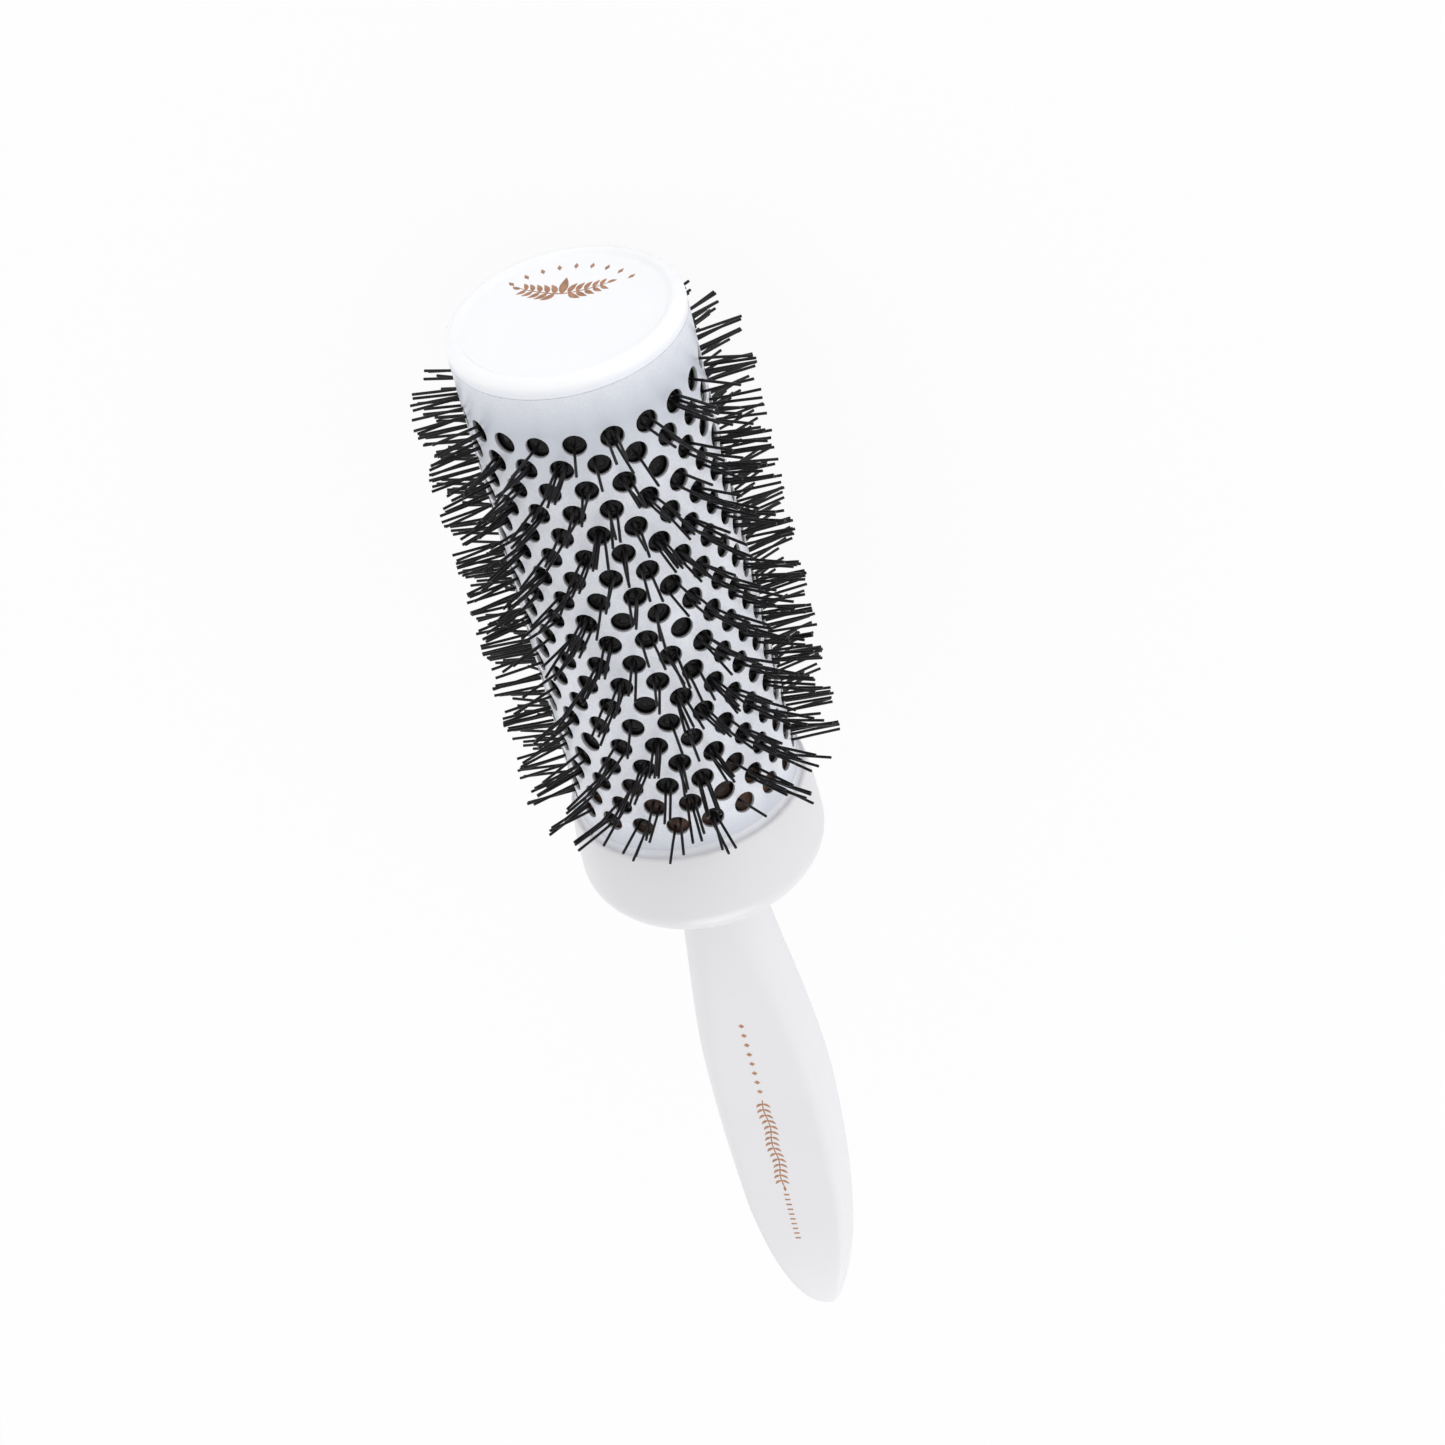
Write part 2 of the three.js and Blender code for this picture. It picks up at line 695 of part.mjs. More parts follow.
addPiece('end_cap', endCap(), 'capWhite');
addPiece('top_plug', topPlug(), 'coreBlack');
addPiece('barrel_sleeve', perforatedSleeve(), 'pearlCoat');
addPiece('bristle_bed_top', bristleBed(0), 'bristleBlack');
addPiece('bristle_bed_right', bristleBed(1), 'bristleBlack');
addPiece('bristle_bed_bottom', restFlat(bristleBed(2)), 'bristleBlack');
addPiece('bristle_bed_left', bristleBed(3), 'bristleBlack');
addPiece('core_frame', coreFrame(), 'coreBlack');
addPiece('base_plug', basePlug(), 'plugBrown');
addPiece('barrel_ring', ring(
  lipX + clearance,
  seamX,
  socketRadius,
  socketRadius + seamRingWall,
  roundSteps,
), 'seamGrey');
addPiece('collar', collar(), 'collarWhite');
addPiece('handle', geometryOf(handle()), 'handleWhite');
addPiece('handle_insert', ring(
  socketTopX - clearance - insertLength,
  socketTopX - clearance,
  rodHole,
  insertRadius,
  plugSteps,
), 'brass');
addPiece('spine_rod', spineRod(), 'steel');
addPiece('spine_washer', ring(washerX, washerX + washerWall, rodHole, washerRadius, plugSteps), 'steel');
addPiece('spine_nut', spineNut(), 'steel');

// Set the brush down: the rest flat on the ground, the middle of the brush over the origin
const reach = new THREE.Box3().setFromObject(brush, true);
const middle = reach.getCenter(new THREE.Vector3());
brush.position.set(-middle.x, -middle.y, -reach.min.z);

export default brush;
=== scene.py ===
"""Vented round barrel brush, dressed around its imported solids. Metres, +Z up.

The barrel's axis runs along X with the end cap towards +X, and the flat face of the handle looks up.
An angle round the axis is 0 at +Z and grows towards -Y.
"""

import math

import bpy
import numpy as np
from bpy.props import FloatProperty, FloatVectorProperty, IntProperty, PointerProperty
from mathutils import Matrix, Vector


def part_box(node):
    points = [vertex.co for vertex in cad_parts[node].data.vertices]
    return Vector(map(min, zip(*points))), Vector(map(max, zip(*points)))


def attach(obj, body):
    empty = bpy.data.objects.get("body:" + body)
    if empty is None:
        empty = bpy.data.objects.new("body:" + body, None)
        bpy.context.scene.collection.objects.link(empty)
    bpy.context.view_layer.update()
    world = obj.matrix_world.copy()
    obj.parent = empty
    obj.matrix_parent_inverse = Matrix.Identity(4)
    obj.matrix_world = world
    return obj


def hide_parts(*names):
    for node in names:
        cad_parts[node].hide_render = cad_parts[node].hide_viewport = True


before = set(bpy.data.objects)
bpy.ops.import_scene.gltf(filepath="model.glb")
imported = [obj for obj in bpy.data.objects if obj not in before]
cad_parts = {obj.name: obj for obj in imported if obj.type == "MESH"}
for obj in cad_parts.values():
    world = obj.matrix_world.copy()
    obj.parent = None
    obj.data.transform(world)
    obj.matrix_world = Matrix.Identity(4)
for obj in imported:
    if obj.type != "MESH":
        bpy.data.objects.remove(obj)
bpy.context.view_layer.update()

bl_info = {
    "name": "Round Barrel Brush",
    "version": (1, 0, 0),
    "blender": (4, 5, 0),
    "location": "View3D > Sidebar > Round Brush",
    "description": "Builds a vented round barrel brush piece by piece",
    "category": "Add Mesh",
}

MM = 0.001
BED_SIDES = ("top", "right", "bottom", "left")

TURN_STEPS = 160
HANDLE_STEPS = 96
EDGE_ANGLE = math.radians(35)

# Tufts: seed, chances of 0 to 4 bristles in a hole, reach of the tips as shares of the full one, and
# how much of the lean is each bristle's own and how much its whole tuft's
TUFT_SEED = 11
BRISTLES_PER_HOLE = (0.05, 0.15, 0.28, 0.31, 0.21)
TIP_REACH = (0.975, 0.998)
STRAND_LEAN_SHARE = 0.62
TUFT_LEAN_SHARE = 0.6

# Handle: where it is widest, its powers, and the flat's half-width at shares of the length
HANDLE_WIDEST_SHARE = 0.46
HANDLE_SWELL_POWER = 1.53
HANDLE_NARROWING = 0.54
HANDLE_TIP_POWER = 6
HANDLE_FACE_POWER = 4
HANDLE_BACK_POWER = 1.6
HANDLE_FLAT_SHARES = np.array([
    (0, 0.12), (0.08, 0.3), (0.18, 0.51), (0.36, 0.73), (0.6, 0.79), (0.72, 0.86), (1, 0.88),
])

# Tone: stretches along X where it changes, from the cap's rim, and where the coat's painted shade lies, from
# the first row of holes and the ring
TONE_PAST_RIM = np.array([-0.6, 0.9]) * MM
SHADE_PAST_ROW = np.array([-12, 3]) * MM
SHADE_FADE_PAST_ROW = 2.5 * MM
SHADE_PAST_RING = np.array([1.5, 6]) * MM

# Ornament, in millimetres: the handle's runs from its neck, and the cap's arc and spray
LOZENGE_RUN = (37.5, 57.5)
STEM_RUN = (60.2, 86.0)
BAR_RUN = (88.6, 102.4)
RUN_ASIDE = 0.9
CAP_ARC_MIDDLE = (1.0, 0.6)
CAP_ARC_RADIUS = 16.4
CAP_SPRAY_CENTRE = (2.1, -8.6)
LOZENGE = np.linspace(-1, 1, 5)

FLAKE_COLOUR = (240, 242, 247)
PLAIN_WHITE = (1.0, 1.0, 1.0, 1.0)
SKY_WHITE = (0.985, 0.99, 1.0, 1.0)

# Stage: sizes and places in metres, but the lens and the sensor in millimetres
FLOOR_REACH = 3.0
LAMP_SIZE = 1.6
RIGHT_LAMP_PLACE = (0.9, -2.3, 0.95)
BACK_LAMP_PLACE = (-2.5, -0.2, 0.95)
CAMERA_LENS = 95.24
CAMERA_SENSOR = 36.0
CAMERA_CLIP_END = 20.0
CAMERA_PLACE = np.array([380.7, -199.8, 548.4]) * MM
CAMERA_RIGHT = (-0.19426, -0.96610, -0.17005)
CAMERA_UP = (0.75611, -0.03702, -0.65340)
CAMERA_BACK = (0.62495, -0.25550, 0.73767)


def reach(node, axis):
    """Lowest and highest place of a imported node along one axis."""
    low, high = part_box(node)
    return low[axis], high[axis]


SLEEVE_LOW, SLEEVE_HIGH = reach("barrel_sleeve", 1)
SLEEVE_RADIUS = (SLEEVE_HIGH - SLEEVE_LOW) / 2
AXIS_Z = sum(reach("barrel_sleeve", 2)) / 2
SLEEVE_BASE_X, SLEEVE_CAP_X = reach("barrel_sleeve", 0)
BED_BASE_X, BED_CAP_X = reach("bristle_bed_top", 0)
TIP_RADIUS = reach("bristle_bed_left", 1)[1]
CAP_RING_X, CAP_TOP_X = reach("end_cap", 0)
CAP_RADIUS = reach("end_cap", 1)[1]
RING_CAP_X = reach("barrel_ring", 0)[1]
RING_RADIUS = reach("barrel_ring", 1)[1]
COLLAR_SEAT_X, COLLAR_LIP_X = reach("collar", 0)
COLLAR_RADIUS = reach("collar", 1)[1]
HANDLE_TIP_X, SPIGOT_TOP_X = reach("handle", 0)
HANDLE_HALF_WIDTH = reach("handle", 1)[1]
HANDLE_BACK_Z = reach("handle", 2)[0]


def from_srgb(red, green, blue):
    """A colour written as 0 to 255 on screen, as the linear values that a shader takes."""
    shares = np.array([red, green, blue]) / 255
    linear = np.where(shares <= 0.04045, shares / 12.92, ((shares + 0.055) / 1.055) ** 2.4)
    return tuple(float(value) for value in linear)


def length(name, description, default, soft_max=0.1):
    return FloatProperty(
        name=name, description=description, default=default, min=0, soft_max=soft_max,
        precision=5, unit="LENGTH", subtype="DISTANCE",
    )


def share(name, description, default):
    return FloatProperty(name=name, description=description, default=default, min=0, max=1, subtype="FACTOR")


def colour(name, description, red, green, blue):
    return FloatVectorProperty(
        name=name, description=description, default=from_srgb(red, green, blue),
        min=0, max=1, size=3, subtype="COLOR",
    )


class BrushSizes(bpy.types.PropertyGroup):
    """Sizes of the brush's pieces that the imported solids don't give."""

    clearance: length("Clearance", "Gap between neighbouring pieces", 0.3 * MM)
    seam_gap: length("Seam gap", "Gap at the seams of the cap and the ring", 0.02 * MM)
    edge_round: length("Edge round", "Radius of small moulded edges", 0.25 * MM)

    hole_rows: IntProperty(name="Hole rows", description="Rows of holes along the barrel", default=19, min=2)
    holes_per_row: IntProperty(name="Holes per row", description="Holes round the barrel", default=20, min=6)
    hole_diameter: length("Hole diameter", "Width of a hole in the barrel", 4.5 * MM)
    hole_edge: length("Hole edge", "Width of the coated edge of a hole", 0.12 * MM)
    sleeve_wall: length("Sleeve wall", "Thickness of the barrel's tube", 0.8 * MM)
    row_to_bed_end: length("Row to bed end", "From an end row to the end of the beds", 3.2 * MM)

    bed_wall: length("Bed wall", "Thickness of a bristle bed", 1.2 * MM)
    knot_radius: length("Knot radius", "Radius of the raised knot at a tuft's foot", 1.3 * MM)
    knot_height: length("Knot height", "Height of the raised knot at a tuft's foot", 0.16 * MM)
    strand_width: length("Strand width", "Thickness of one bristle", 0.56 * MM)
    strand_lean: FloatProperty(
        name="Strand lean", description="How far a bristle leans from square", default=math.radians(4.8),
        min=0, soft_max=0.5, subtype="ANGLE",
    )
    tuft_spread: length("Tuft spread", "Radius of the circle that a tuft grows from", 1.3 * MM)
    strand_bend: length("Strand bend", "How far a bristle's tip bends aside", 0.5 * MM)

    cap_height: length("Cap height", "Height of the cap above the barrel", 3.2 * MM)
    cap_rim_round: length("Cap rim round", "Radius of the outer edge of the cap's rim", 2.1 * MM)
    cap_dish_depth: length("Cap dish depth", "How deep the cap's face lies below its rim", 1.2 * MM)
    cap_dish_edge: length("Cap dish edge", "Width of the slope from the rim to the face", 1.25 * MM)
    cap_bowl: length("Cap bowl", "How much the cap's face rises from its middle to its edge", 0.3 * MM)
    cap_ring_radius: length("Cap ring radius", "Outer radius of the ring that snaps in", 18.97 * MM)
    cap_ring_wall: length("Cap ring wall", "Thickness of the ring that snaps in", 1.5 * MM)

    collar_lip_wall: length("Collar lip wall", "Thickness of the collar at its lip", 1.2 * MM)
    collar_lip_round: length("Collar lip round", "Radius of the collar's lip", 0.8 * MM)
    collar_socket_depth: length("Collar socket depth", "How deep the barrel sits in the collar", 3.6 * MM)
    collar_ledge: length("Collar ledge", "Width of the ledge that the barrel rests on", 2 * MM)
    collar_floor: length("Collar floor", "Thickness of the collar's base", 2.2 * MM)
    collar_dome_length: length("Collar dome length", "Length of the collar's bowl-shaped base", 11.6 * MM)
    collar_seat_radius: length("Collar seat radius", "Radius of the flat where the handle meets", 9.2 * MM)
    socket_wall: length("Socket wall", "Thickness of the boss that holds the handle", 2 * MM)

    ring_edge: length("Ring edge", "Thickness of the seam ring at its outer edge", 0.06 * MM)

    handle_neck_width: length("Handle neck width", "Width of the handle at the collar", 17 * MM)
    handle_front: length("Handle front", "Height of the flat face above the widest line", 7.5 * MM)
    handle_set_back: length("Handle set-back", "How far the widest line lies below the axis", 2.8 * MM)
    handle_tip_rise: length("Handle tip rise", "How far the tip lies above the widest line", 2.1 * MM)
    handle_tip_short: length("Handle tip gap", "How far the round tip ends before the CAD tip", 2 * MM)
    handle_wall: length("Handle wall", "Thickness of the hollow handle", 2.6 * MM)
    handle_ridge: length("Handle ridge", "Softness of the edge of the flat face", 0.8 * MM)
    spigot_radius: length("Spigot radius", "Radius of the spigot inside the collar", 6.2 * MM)
    insert_hole_radius: length("Insert hole radius", "Radius of the hole for the insert", 4.5 * MM)
    hollow_start: length("Hollow start", "From the neck to the hollow", 16 * MM)
    hollow_end: length("Hollow end", "From the hollow to the tip", 7 * MM)

    foil_thickness: length("Foil thickness", "How far the stamped foil stands proud", 0.03 * MM)


class BrushColours(bpy.types.PropertyGroup):
    """Colours of the brush's finishes."""

    cap: colour("Cap", "White of the end cap", 245, 245, 246)
    coat: colour("Coat", "Pearl coat of the barrel", 228, 230, 235)
    hole_wall: colour("Hole wall", "Bare wall of a hole in the barrel", 192, 190, 191)
    coat_shade: colour("Coat shade", "Darker speckle of the coat", 216, 218, 226)
    # Painted shade: a darker coat tone laid round the first row of holes and next to the collar
    coat_painted_shade: colour("Deep coat", "Tone of the coat round the barrel's plain band", 194, 198, 207)
    bristle: colour("Bristle", "Black nylon", 21, 19, 21)
    bed: colour("Bed", "Black moulded bed", 14, 12, 13)
    bed_stain: colour("Bed stain", "Brown base that shows through the lowest holes", 104, 74, 58)
    seam: colour("Seam", "Ring between barrel and collar", 220, 221, 226)
    collar: colour("Collar", "Grey-white of the collar", 215, 214, 216)
    handle: colour("Handle", "White of the handle", 223, 222, 224)
    foil: colour("Foil", "Rose-gold stamping foil", 186, 138, 108)
    steel: colour("Steel", "Bright plated steel", 196, 198, 201)
    brass: colour("Brass", "Turned brass", 214, 178, 104)
    plug: colour("Plug", "Brown moulded plug", 110, 84, 66)
    floor: colour("Floor", "Pale studio floor", 236, 236, 238)


class BrushLight(bpy.types.PropertyGroup):
    """Strengths of the studio light."""

    right: FloatProperty(
        name="Right", description="Power of the light to the right of the handle, in watts",
        default=7, min=0, soft_max=200,
    )
    back: FloatProperty(
        name="Back", description="Power of the light beyond the handle's tip, in watts",
        default=12.7, min=0, soft_max=200,
    )
    horizon: FloatProperty(
        name="Horizon", description="Strength of the light near the floor", default=1.78, min=0, soft_max=3,
    )
    zenith: FloatProperty(
        name="Zenith", description="Strength of the light from above", default=0.58, min=0, soft_max=3,
    )
    floor_white: share("Floor white", "How much of the floor shows as plain white", 0.92)


# Measures that several pieces share


def first_row_x(sizes):
    """Place along X of the row of holes next to the cap."""
    return BED_CAP_X - sizes.row_to_bed_end


def row_pitch(sizes):
    """Distance along X between neighbouring rows of holes."""
    return (BED_CAP_X - BED_BASE_X - 2 * sizes.row_to_bed_end) / (sizes.hole_rows - 1)


def bed_radius(sizes):
    """Outer radius of the bristle beds inside the sleeve."""
    return SLEEVE_RADIUS - sizes.sleeve_wall - sizes.clearance


def handle_line(sizes):
    """Place along X of the handle's neck, and the handle's length from there to its tip."""
    neck_x = COLLAR_SEAT_X - sizes.clearance
    return neck_x, neck_x - HANDLE_TIP_X - sizes.handle_tip_short


# Points round the barrel's axis, and grids of faces


def around(x, radius, turn):
    """Points at a place along the axis, a radius and an angle, as an array of [x, y, z]."""
    x, radius, turn = np.broadcast_arrays(x, radius, turn)
    return np.stack([x, -radius * np.sin(turn), AXIS_Z + radius * np.cos(turn)], -1)


def grid_faces(rows, columns, close_rows=False, close_columns=False):
    """Quads between neighbouring points of a grid that is numbered row by row from 0."""
    row = np.arange(rows if close_rows else rows - 1)[:, None]
    column = np.arange(columns if close_columns else columns - 1)[None, :]
    next_row = (row + 1) % rows
    next_column = (column + 1) % columns
    corners = [
        row * columns + column,
        row * columns + next_column,
        next_row * columns + next_column,
        next_row * columns + column,
    ]
    return np.stack(corners, -1).reshape(-1, 4)


def fan_faces(ring, pole, turned=False):
    """Triangles from a closed ring of point numbers to one pole."""
    following = np.roll(ring, -1)
    sides = (following, ring) if turned else (ring, following)
    return np.stack([*sides, np.full(len(ring), pole)], -1)


def outward(points, faces):
    """The faces, all turned round where they enclose a negative volume."""
    corners = points[np.asarray(faces)[:, :3]]
    volume = np.einsum("ij,ij->i", corners[:, 0], np.cross(corners[:, 1], corners[:, 2])).sum()
    if np.asarray(faces).shape[1] == 4:
        others = points[np.asarray(faces)[:, [0, 2, 3]]]
        volume += np.einsum("ij,ij->i", others[:, 0], np.cross(others[:, 1], others[:, 2])).sum()
    return faces[:, ::-1] if volume < 0 else faces


class Skin:
    """Collects the surfaces of one piece: points, faces and the material of each face."""

    def __init__(self):
        self.points = []
        self.faces = []
        self.finishes = []
        self.count = 0

    def add(self, points, face_sets, finish=0):
        """Adds points and sets of faces that number those points from 0."""
        for faces in face_sets:
            self.faces.extend((faces + self.count).tolist())
            self.finishes.extend([finish] * len(faces))
        self.points.append(points.reshape(-1, 3))
        self.count += len(self.points[-1])

    def mesh(self, name, sharp_angle):
        mesh = bpy.data.meshes.new(name)
        mesh.from_pydata(np.concatenate(self.points).tolist(), [], self.faces)
        mesh.polygons.foreach_set("material_index", self.finishes)
        mesh.shade_smooth()
        mesh.set_sharp_from_angle(angle=sharp_angle)
        mesh.update()
        return mesh


def place_piece(name, mesh, materials, slot, *nodes):
    """Puts a mesh into the scene as a piece that stands for the named solids."""
    piece = bpy.data.objects.new(name, mesh)
    bpy.context.scene.collection.objects.link(piece)
    for material in materials:
        mesh.materials.append(material)
    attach(piece, "root")
    if nodes:
        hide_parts(*nodes)
    return piece


def closed_rings(rings, first_pole, last_pole):
    """Rings of points joined into one closed skin, with a pole beyond the first and the last ring.

    The points are [ring, place round it]. Returns all points and the sets of faces.
    """
    rows, columns, _ = rings.shape
    points = np.concatenate([rings.reshape(-1, 3), [first_pole, last_pole]])
    pole = rows * columns
    ring = np.arange(columns)
    first = fan_faces(ring, pole, turned=True)
    last = fan_faces(ring + (rows - 1) * columns, pole + 1)
    return points, [grid_faces(rows, columns, close_columns=True), first, last]


def rounded_profile(corners, rounds, steps, support):
    """A profile of [x, radius] corners with each corner turned into an arc of its own radius.

    The arc touches both straight sides. A point close to each end of a straight side keeps the
    shading of the flat stretch even.
    """
    corners = np.array(corners, float)
    profile = []
    for i, (corner, radius) in enumerate(zip(corners, rounds)):
        if i in (0, len(corners) - 1) or radius == 0:
            profile.append(corner)
            continue
        before = corners[i - 1] - corner
        after = corners[i + 1] - corner
        reach_before, reach_after = np.linalg.norm(before), np.linalg.norm(after)
        before /= reach_before
        after /= reach_after
        half = math.acos(np.clip(before @ after, -1, 1)) / 2
        cut = radius / math.tan(half)
        middle = before + after
        centre = corner + middle / np.linalg.norm(middle) * (radius / math.sin(half))
        start, end = corner + before * cut - centre, corner + after * cut - centre
        turn = np.linspace(0, 1, steps + 1)[:, None]
        sweep = math.pi - 2 * half
        arc = (np.sin((1 - turn) * sweep) * start + np.sin(turn * sweep) * end) / math.sin(sweep)
        if reach_before > cut + 2 * support:
            profile.append(corner + before * (cut + support))
        profile.extend(centre + arc)
        if reach_after > cut + 2 * support:
            profile.append(corner + after * (cut + support))
    return np.array(profile)


def ellipse_arc(centre_x, centre_radius, reach_x, reach_radius, start, end, steps):
    """Points of [x, radius] on an ellipse, where angle 0 is its outermost radius and grows towards +X."""
    turn = np.linspace(start, end, steps + 1)
    return np.stack([centre_x + reach_x * np.sin(turn), centre_radius + reach_radius * np.cos(turn)], -1)


def turned_piece(profile):
    """A profile of [x, radius] carried round the axis, as a closed skin.

    A profile that starts and ends on the axis closes in poles there, and any other closes on itself.
    """
    turn = np.linspace(0, 2 * math.pi, TURN_STEPS, endpoint=False)
    on_axis = profile[0, 1] == 0
    rows = profile[1:-1] if on_axis else profile
    rings = around(rows[:, :1], rows[:, 1:], turn[None, :])
    skin = Skin()
    if on_axis:
        poles = around(profile[[0, -1], 0], 0, 0)
        points, sets = closed_rings(rings, *poles)
        skin.add(points, match_outward(points, sets))
    else:
        faces = grid_faces(len(rows), TURN_STEPS, close_rows=True, close_columns=True)
        skin.add(rings, [outward(rings.reshape(-1, 3), faces)])
    return skin


def match_outward(points, sets):
    """Sets of faces that belong to one skin, all turned together so that the grid looks outward."""
    grid = sets[0]
    turned = outward(points, grid)
    if turned is grid:
        return sets
    return [faces[:, ::-1] for faces in sets]


# Shader groups and finishes


def new_group(name, inputs, outputs):
    """An empty shader group with named sockets. Each socket is (name, kind, default)."""
    group = bpy.data.node_groups.new(name, "ShaderNodeTree")
    for socket, kind, default in inputs:
        made = group.interface.new_socket(name=socket, in_out="INPUT", socket_type=kind)
        if default is not None:
            made.default_value = default
    for socket, kind in outputs:
        group.interface.new_socket(name=socket, in_out="OUTPUT", socket_type=kind)
    return group


def set_inputs(tree, node, **inputs):
    """A node's inputs set to values or linked to other nodes' outputs. _0 is the input with number 0."""
    for key, value in inputs.items():
        socket = node.inputs[int(key[1:]) if key[1:].isdigit() else key.replace("_", " ")]
        if isinstance(value, bpy.types.NodeSocket):
            tree.links.new(value, socket)
        else:
            socket.default_value = value


def add_node(tree, kind, settings=None, **inputs):
    """A node with its settings and its inputs."""
    node = tree.nodes.new(kind)
    for key, value in (settings or {}).items():
        setattr(node, key, value)
    set_inputs(tree, node, **inputs)
    return node


def worked_out(tree, operation, *values):
    """The result of one step of arithmetic on values or other nodes' outputs."""
    numbered = {f"_{place}": value for place, value in enumerate(values)}
    return add_node(tree, "ShaderNodeMath", {"operation": operation}, **numbered).outputs[0]


def noise(tree, place, scale, detail=2.0):
    """Soft noise with features about one over the scale, in metres."""
    node = add_node(tree, "ShaderNodeTexNoise", Vector=place, Scale=scale, Detail=detail)
    return node.outputs["Fac"]


def spread(tree, value, low, high, new_low, new_high):
    """A value moved from one range to another and held within it."""
    return add_node(
        tree, "ShaderNodeMapRange", {"clamp": True}, Value=value,
        From_Min=low, From_Max=high, To_Min=new_low, To_Max=new_high,
    ).outputs["Result"]


def mixed(tree, factor, first, second):
    """One colour mixed into another by a factor."""
    node = add_node(tree, "ShaderNodeMix", {"data_type": "RGBA"}, _0=factor, _6=first, _7=second)
    return node.outputs[2]


def place_along(tree, place):
    """A place's part along X."""
    return add_node(tree, "ShaderNodeSeparateXYZ", Vector=place).outputs["X"]


def opaque(colour_value, level=1.0):
    """A colour with full alpha, made darker by a level below 1."""
    return (*(value * level for value in colour_value), 1.0)


def moulded_group():
    """Moulded plastic: cloudy tone, patchy gloss and a fine sparked grain, all from noise on the place."""
    found = bpy.data.node_groups.get("moulded_surface")
    if found:
        return found
    tree = new_group(
        "moulded_surface",
        [("Place", "NodeSocketVector", None), ("Colour", "NodeSocketColor", (1, 1, 1, 1)),
         ("Shade", "NodeSocketColor", (0.8, 0.8, 0.8, 1)), ("Grain Scale", "NodeSocketFloat", 3000.0),
         ("Gloss Low", "NodeSocketFloat", 0.3), ("Gloss High", "NodeSocketFloat", 0.4)],
        [("Colour", "NodeSocketColor"), ("Roughness", "NodeSocketFloat"), ("Height", "NodeSocketFloat")],
    )
    source = tree.nodes.new("NodeGroupInput").outputs
    cloud = noise(tree, source["Place"], 55.0, 3.0)
    tone = spread(tree, cloud, 0.1, 0.9, 0.0, 1.0)
    patch = noise(tree, source["Place"], 240.0)
    add_node(
        tree, "NodeGroupOutput", Colour=mixed(tree, tone, source["Colour"], source["Shade"]),
        Roughness=spread(tree, patch, 0.1, 0.9, source["Gloss Low"], source["Gloss High"]),
        Height=noise(tree, source["Place"], source["Grain Scale"], 3.0),
    )
    return tree


def speckle_group():
    """Pearl speckle: small bright flakes from cell noise over a fine darker mottle."""
    found = bpy.data.node_groups.get("pearl_speckle")
    if found:
        return found
    tree = new_group(
        "pearl_speckle",
        [("Place", "NodeSocketVector", None), ("Flake Scale", "NodeSocketFloat", 4200.0)],
        [("Mottle", "NodeSocketFloat"), ("Flakes", "NodeSocketFloat"), ("Height", "NodeSocketFloat")],
    )
    source = tree.nodes.new("NodeGroupInput").outputs
    fine = noise(tree, source["Place"], 2600.0, 4.0)
    wide = noise(tree, source["Place"], 420.0, 2.0)
    both = worked_out(tree, "MULTIPLY_ADD", wide, 0.45, fine)
    cells = add_node(
        tree, "ShaderNodeTexVoronoi", {"feature": "F1"}, Vector=source["Place"], Scale=source["Flake Scale"],
    )
    add_node(
        tree, "NodeGroupOutput", Mottle=spread(tree, both, 0.55, 0.9, 0.0, 1.0),
        Flakes=spread(tree, cells.outputs["Distance"], 0.1, 0.3, 1.0, 0.0), Height=both,
    )
    return tree


def new_finish(name, roughness=0.4):
    """A material with a Principled shader. Returns it, its tree, its shader and the object's own place."""
    material = bpy.data.materials.new(name)
    material.use_nodes = True
    tree = material.node_tree
    tree.nodes.clear()
    shader = add_node(tree, "ShaderNodeBsdfPrincipled", Roughness=roughness)
    add_node(tree, "ShaderNodeOutputMaterial", Surface=shader.outputs["BSDF"])
    place = tree.nodes.new("ShaderNodeTexCoord").outputs["Object"]
    return material, tree, shader, place


def add_bump(tree, shader, height, strength, distance):
    bump = add_node(tree, "ShaderNodeBump", Height=height, Strength=strength, Distance=distance)
    set_inputs(tree, shader, Normal=bump.outputs["Normal"])


def moulded_finish(name, tint, gloss, grain_scale, grain_depth, shade_level=0.95):
    """Moulded plastic of one colour, from satin to glossy."""
    material, tree, shader, place = new_finish(name)
    made = add_node(
        tree, "ShaderNodeGroup", {"node_tree": moulded_group()},
        Place=place, Colour=opaque(tint), Shade=opaque(tint, shade_level),
        Grain_Scale=grain_scale, Gloss_Low=gloss - 0.04, Gloss_High=gloss + 0.05,
    ).outputs
    set_inputs(tree, shader, Base_Color=made["Colour"], Roughness=made["Roughness"])
    add_bump(tree, shader, made["Height"], 0.35, grain_depth)
    return material


def cap_finish(colours, sizes):
    """The cap's white plastic, which takes on the coat's tone along the axis towards the seam."""
    material = moulded_finish("cap_white", colours.cap, 0.34, 2400.0, 0.008 * MM, 0.97)
    tree = material.node_tree
    shader = next(node for node in tree.nodes if node.type == "BSDF_PRINCIPLED")
    place = tree.nodes.new("ShaderNodeTexCoord").outputs["Object"]
    rim_x = CAP_TOP_X - sizes.cap_rim_round
    side = spread(tree, place_along(tree, place), *(rim_x + TONE_PAST_RIM), 1.0, 0.0)
    white = shader.inputs["Base Color"].links[0].from_socket
    set_inputs(tree, shader, Base_Color=mixed(tree, side, white, opaque(colours.coat)))
    return material


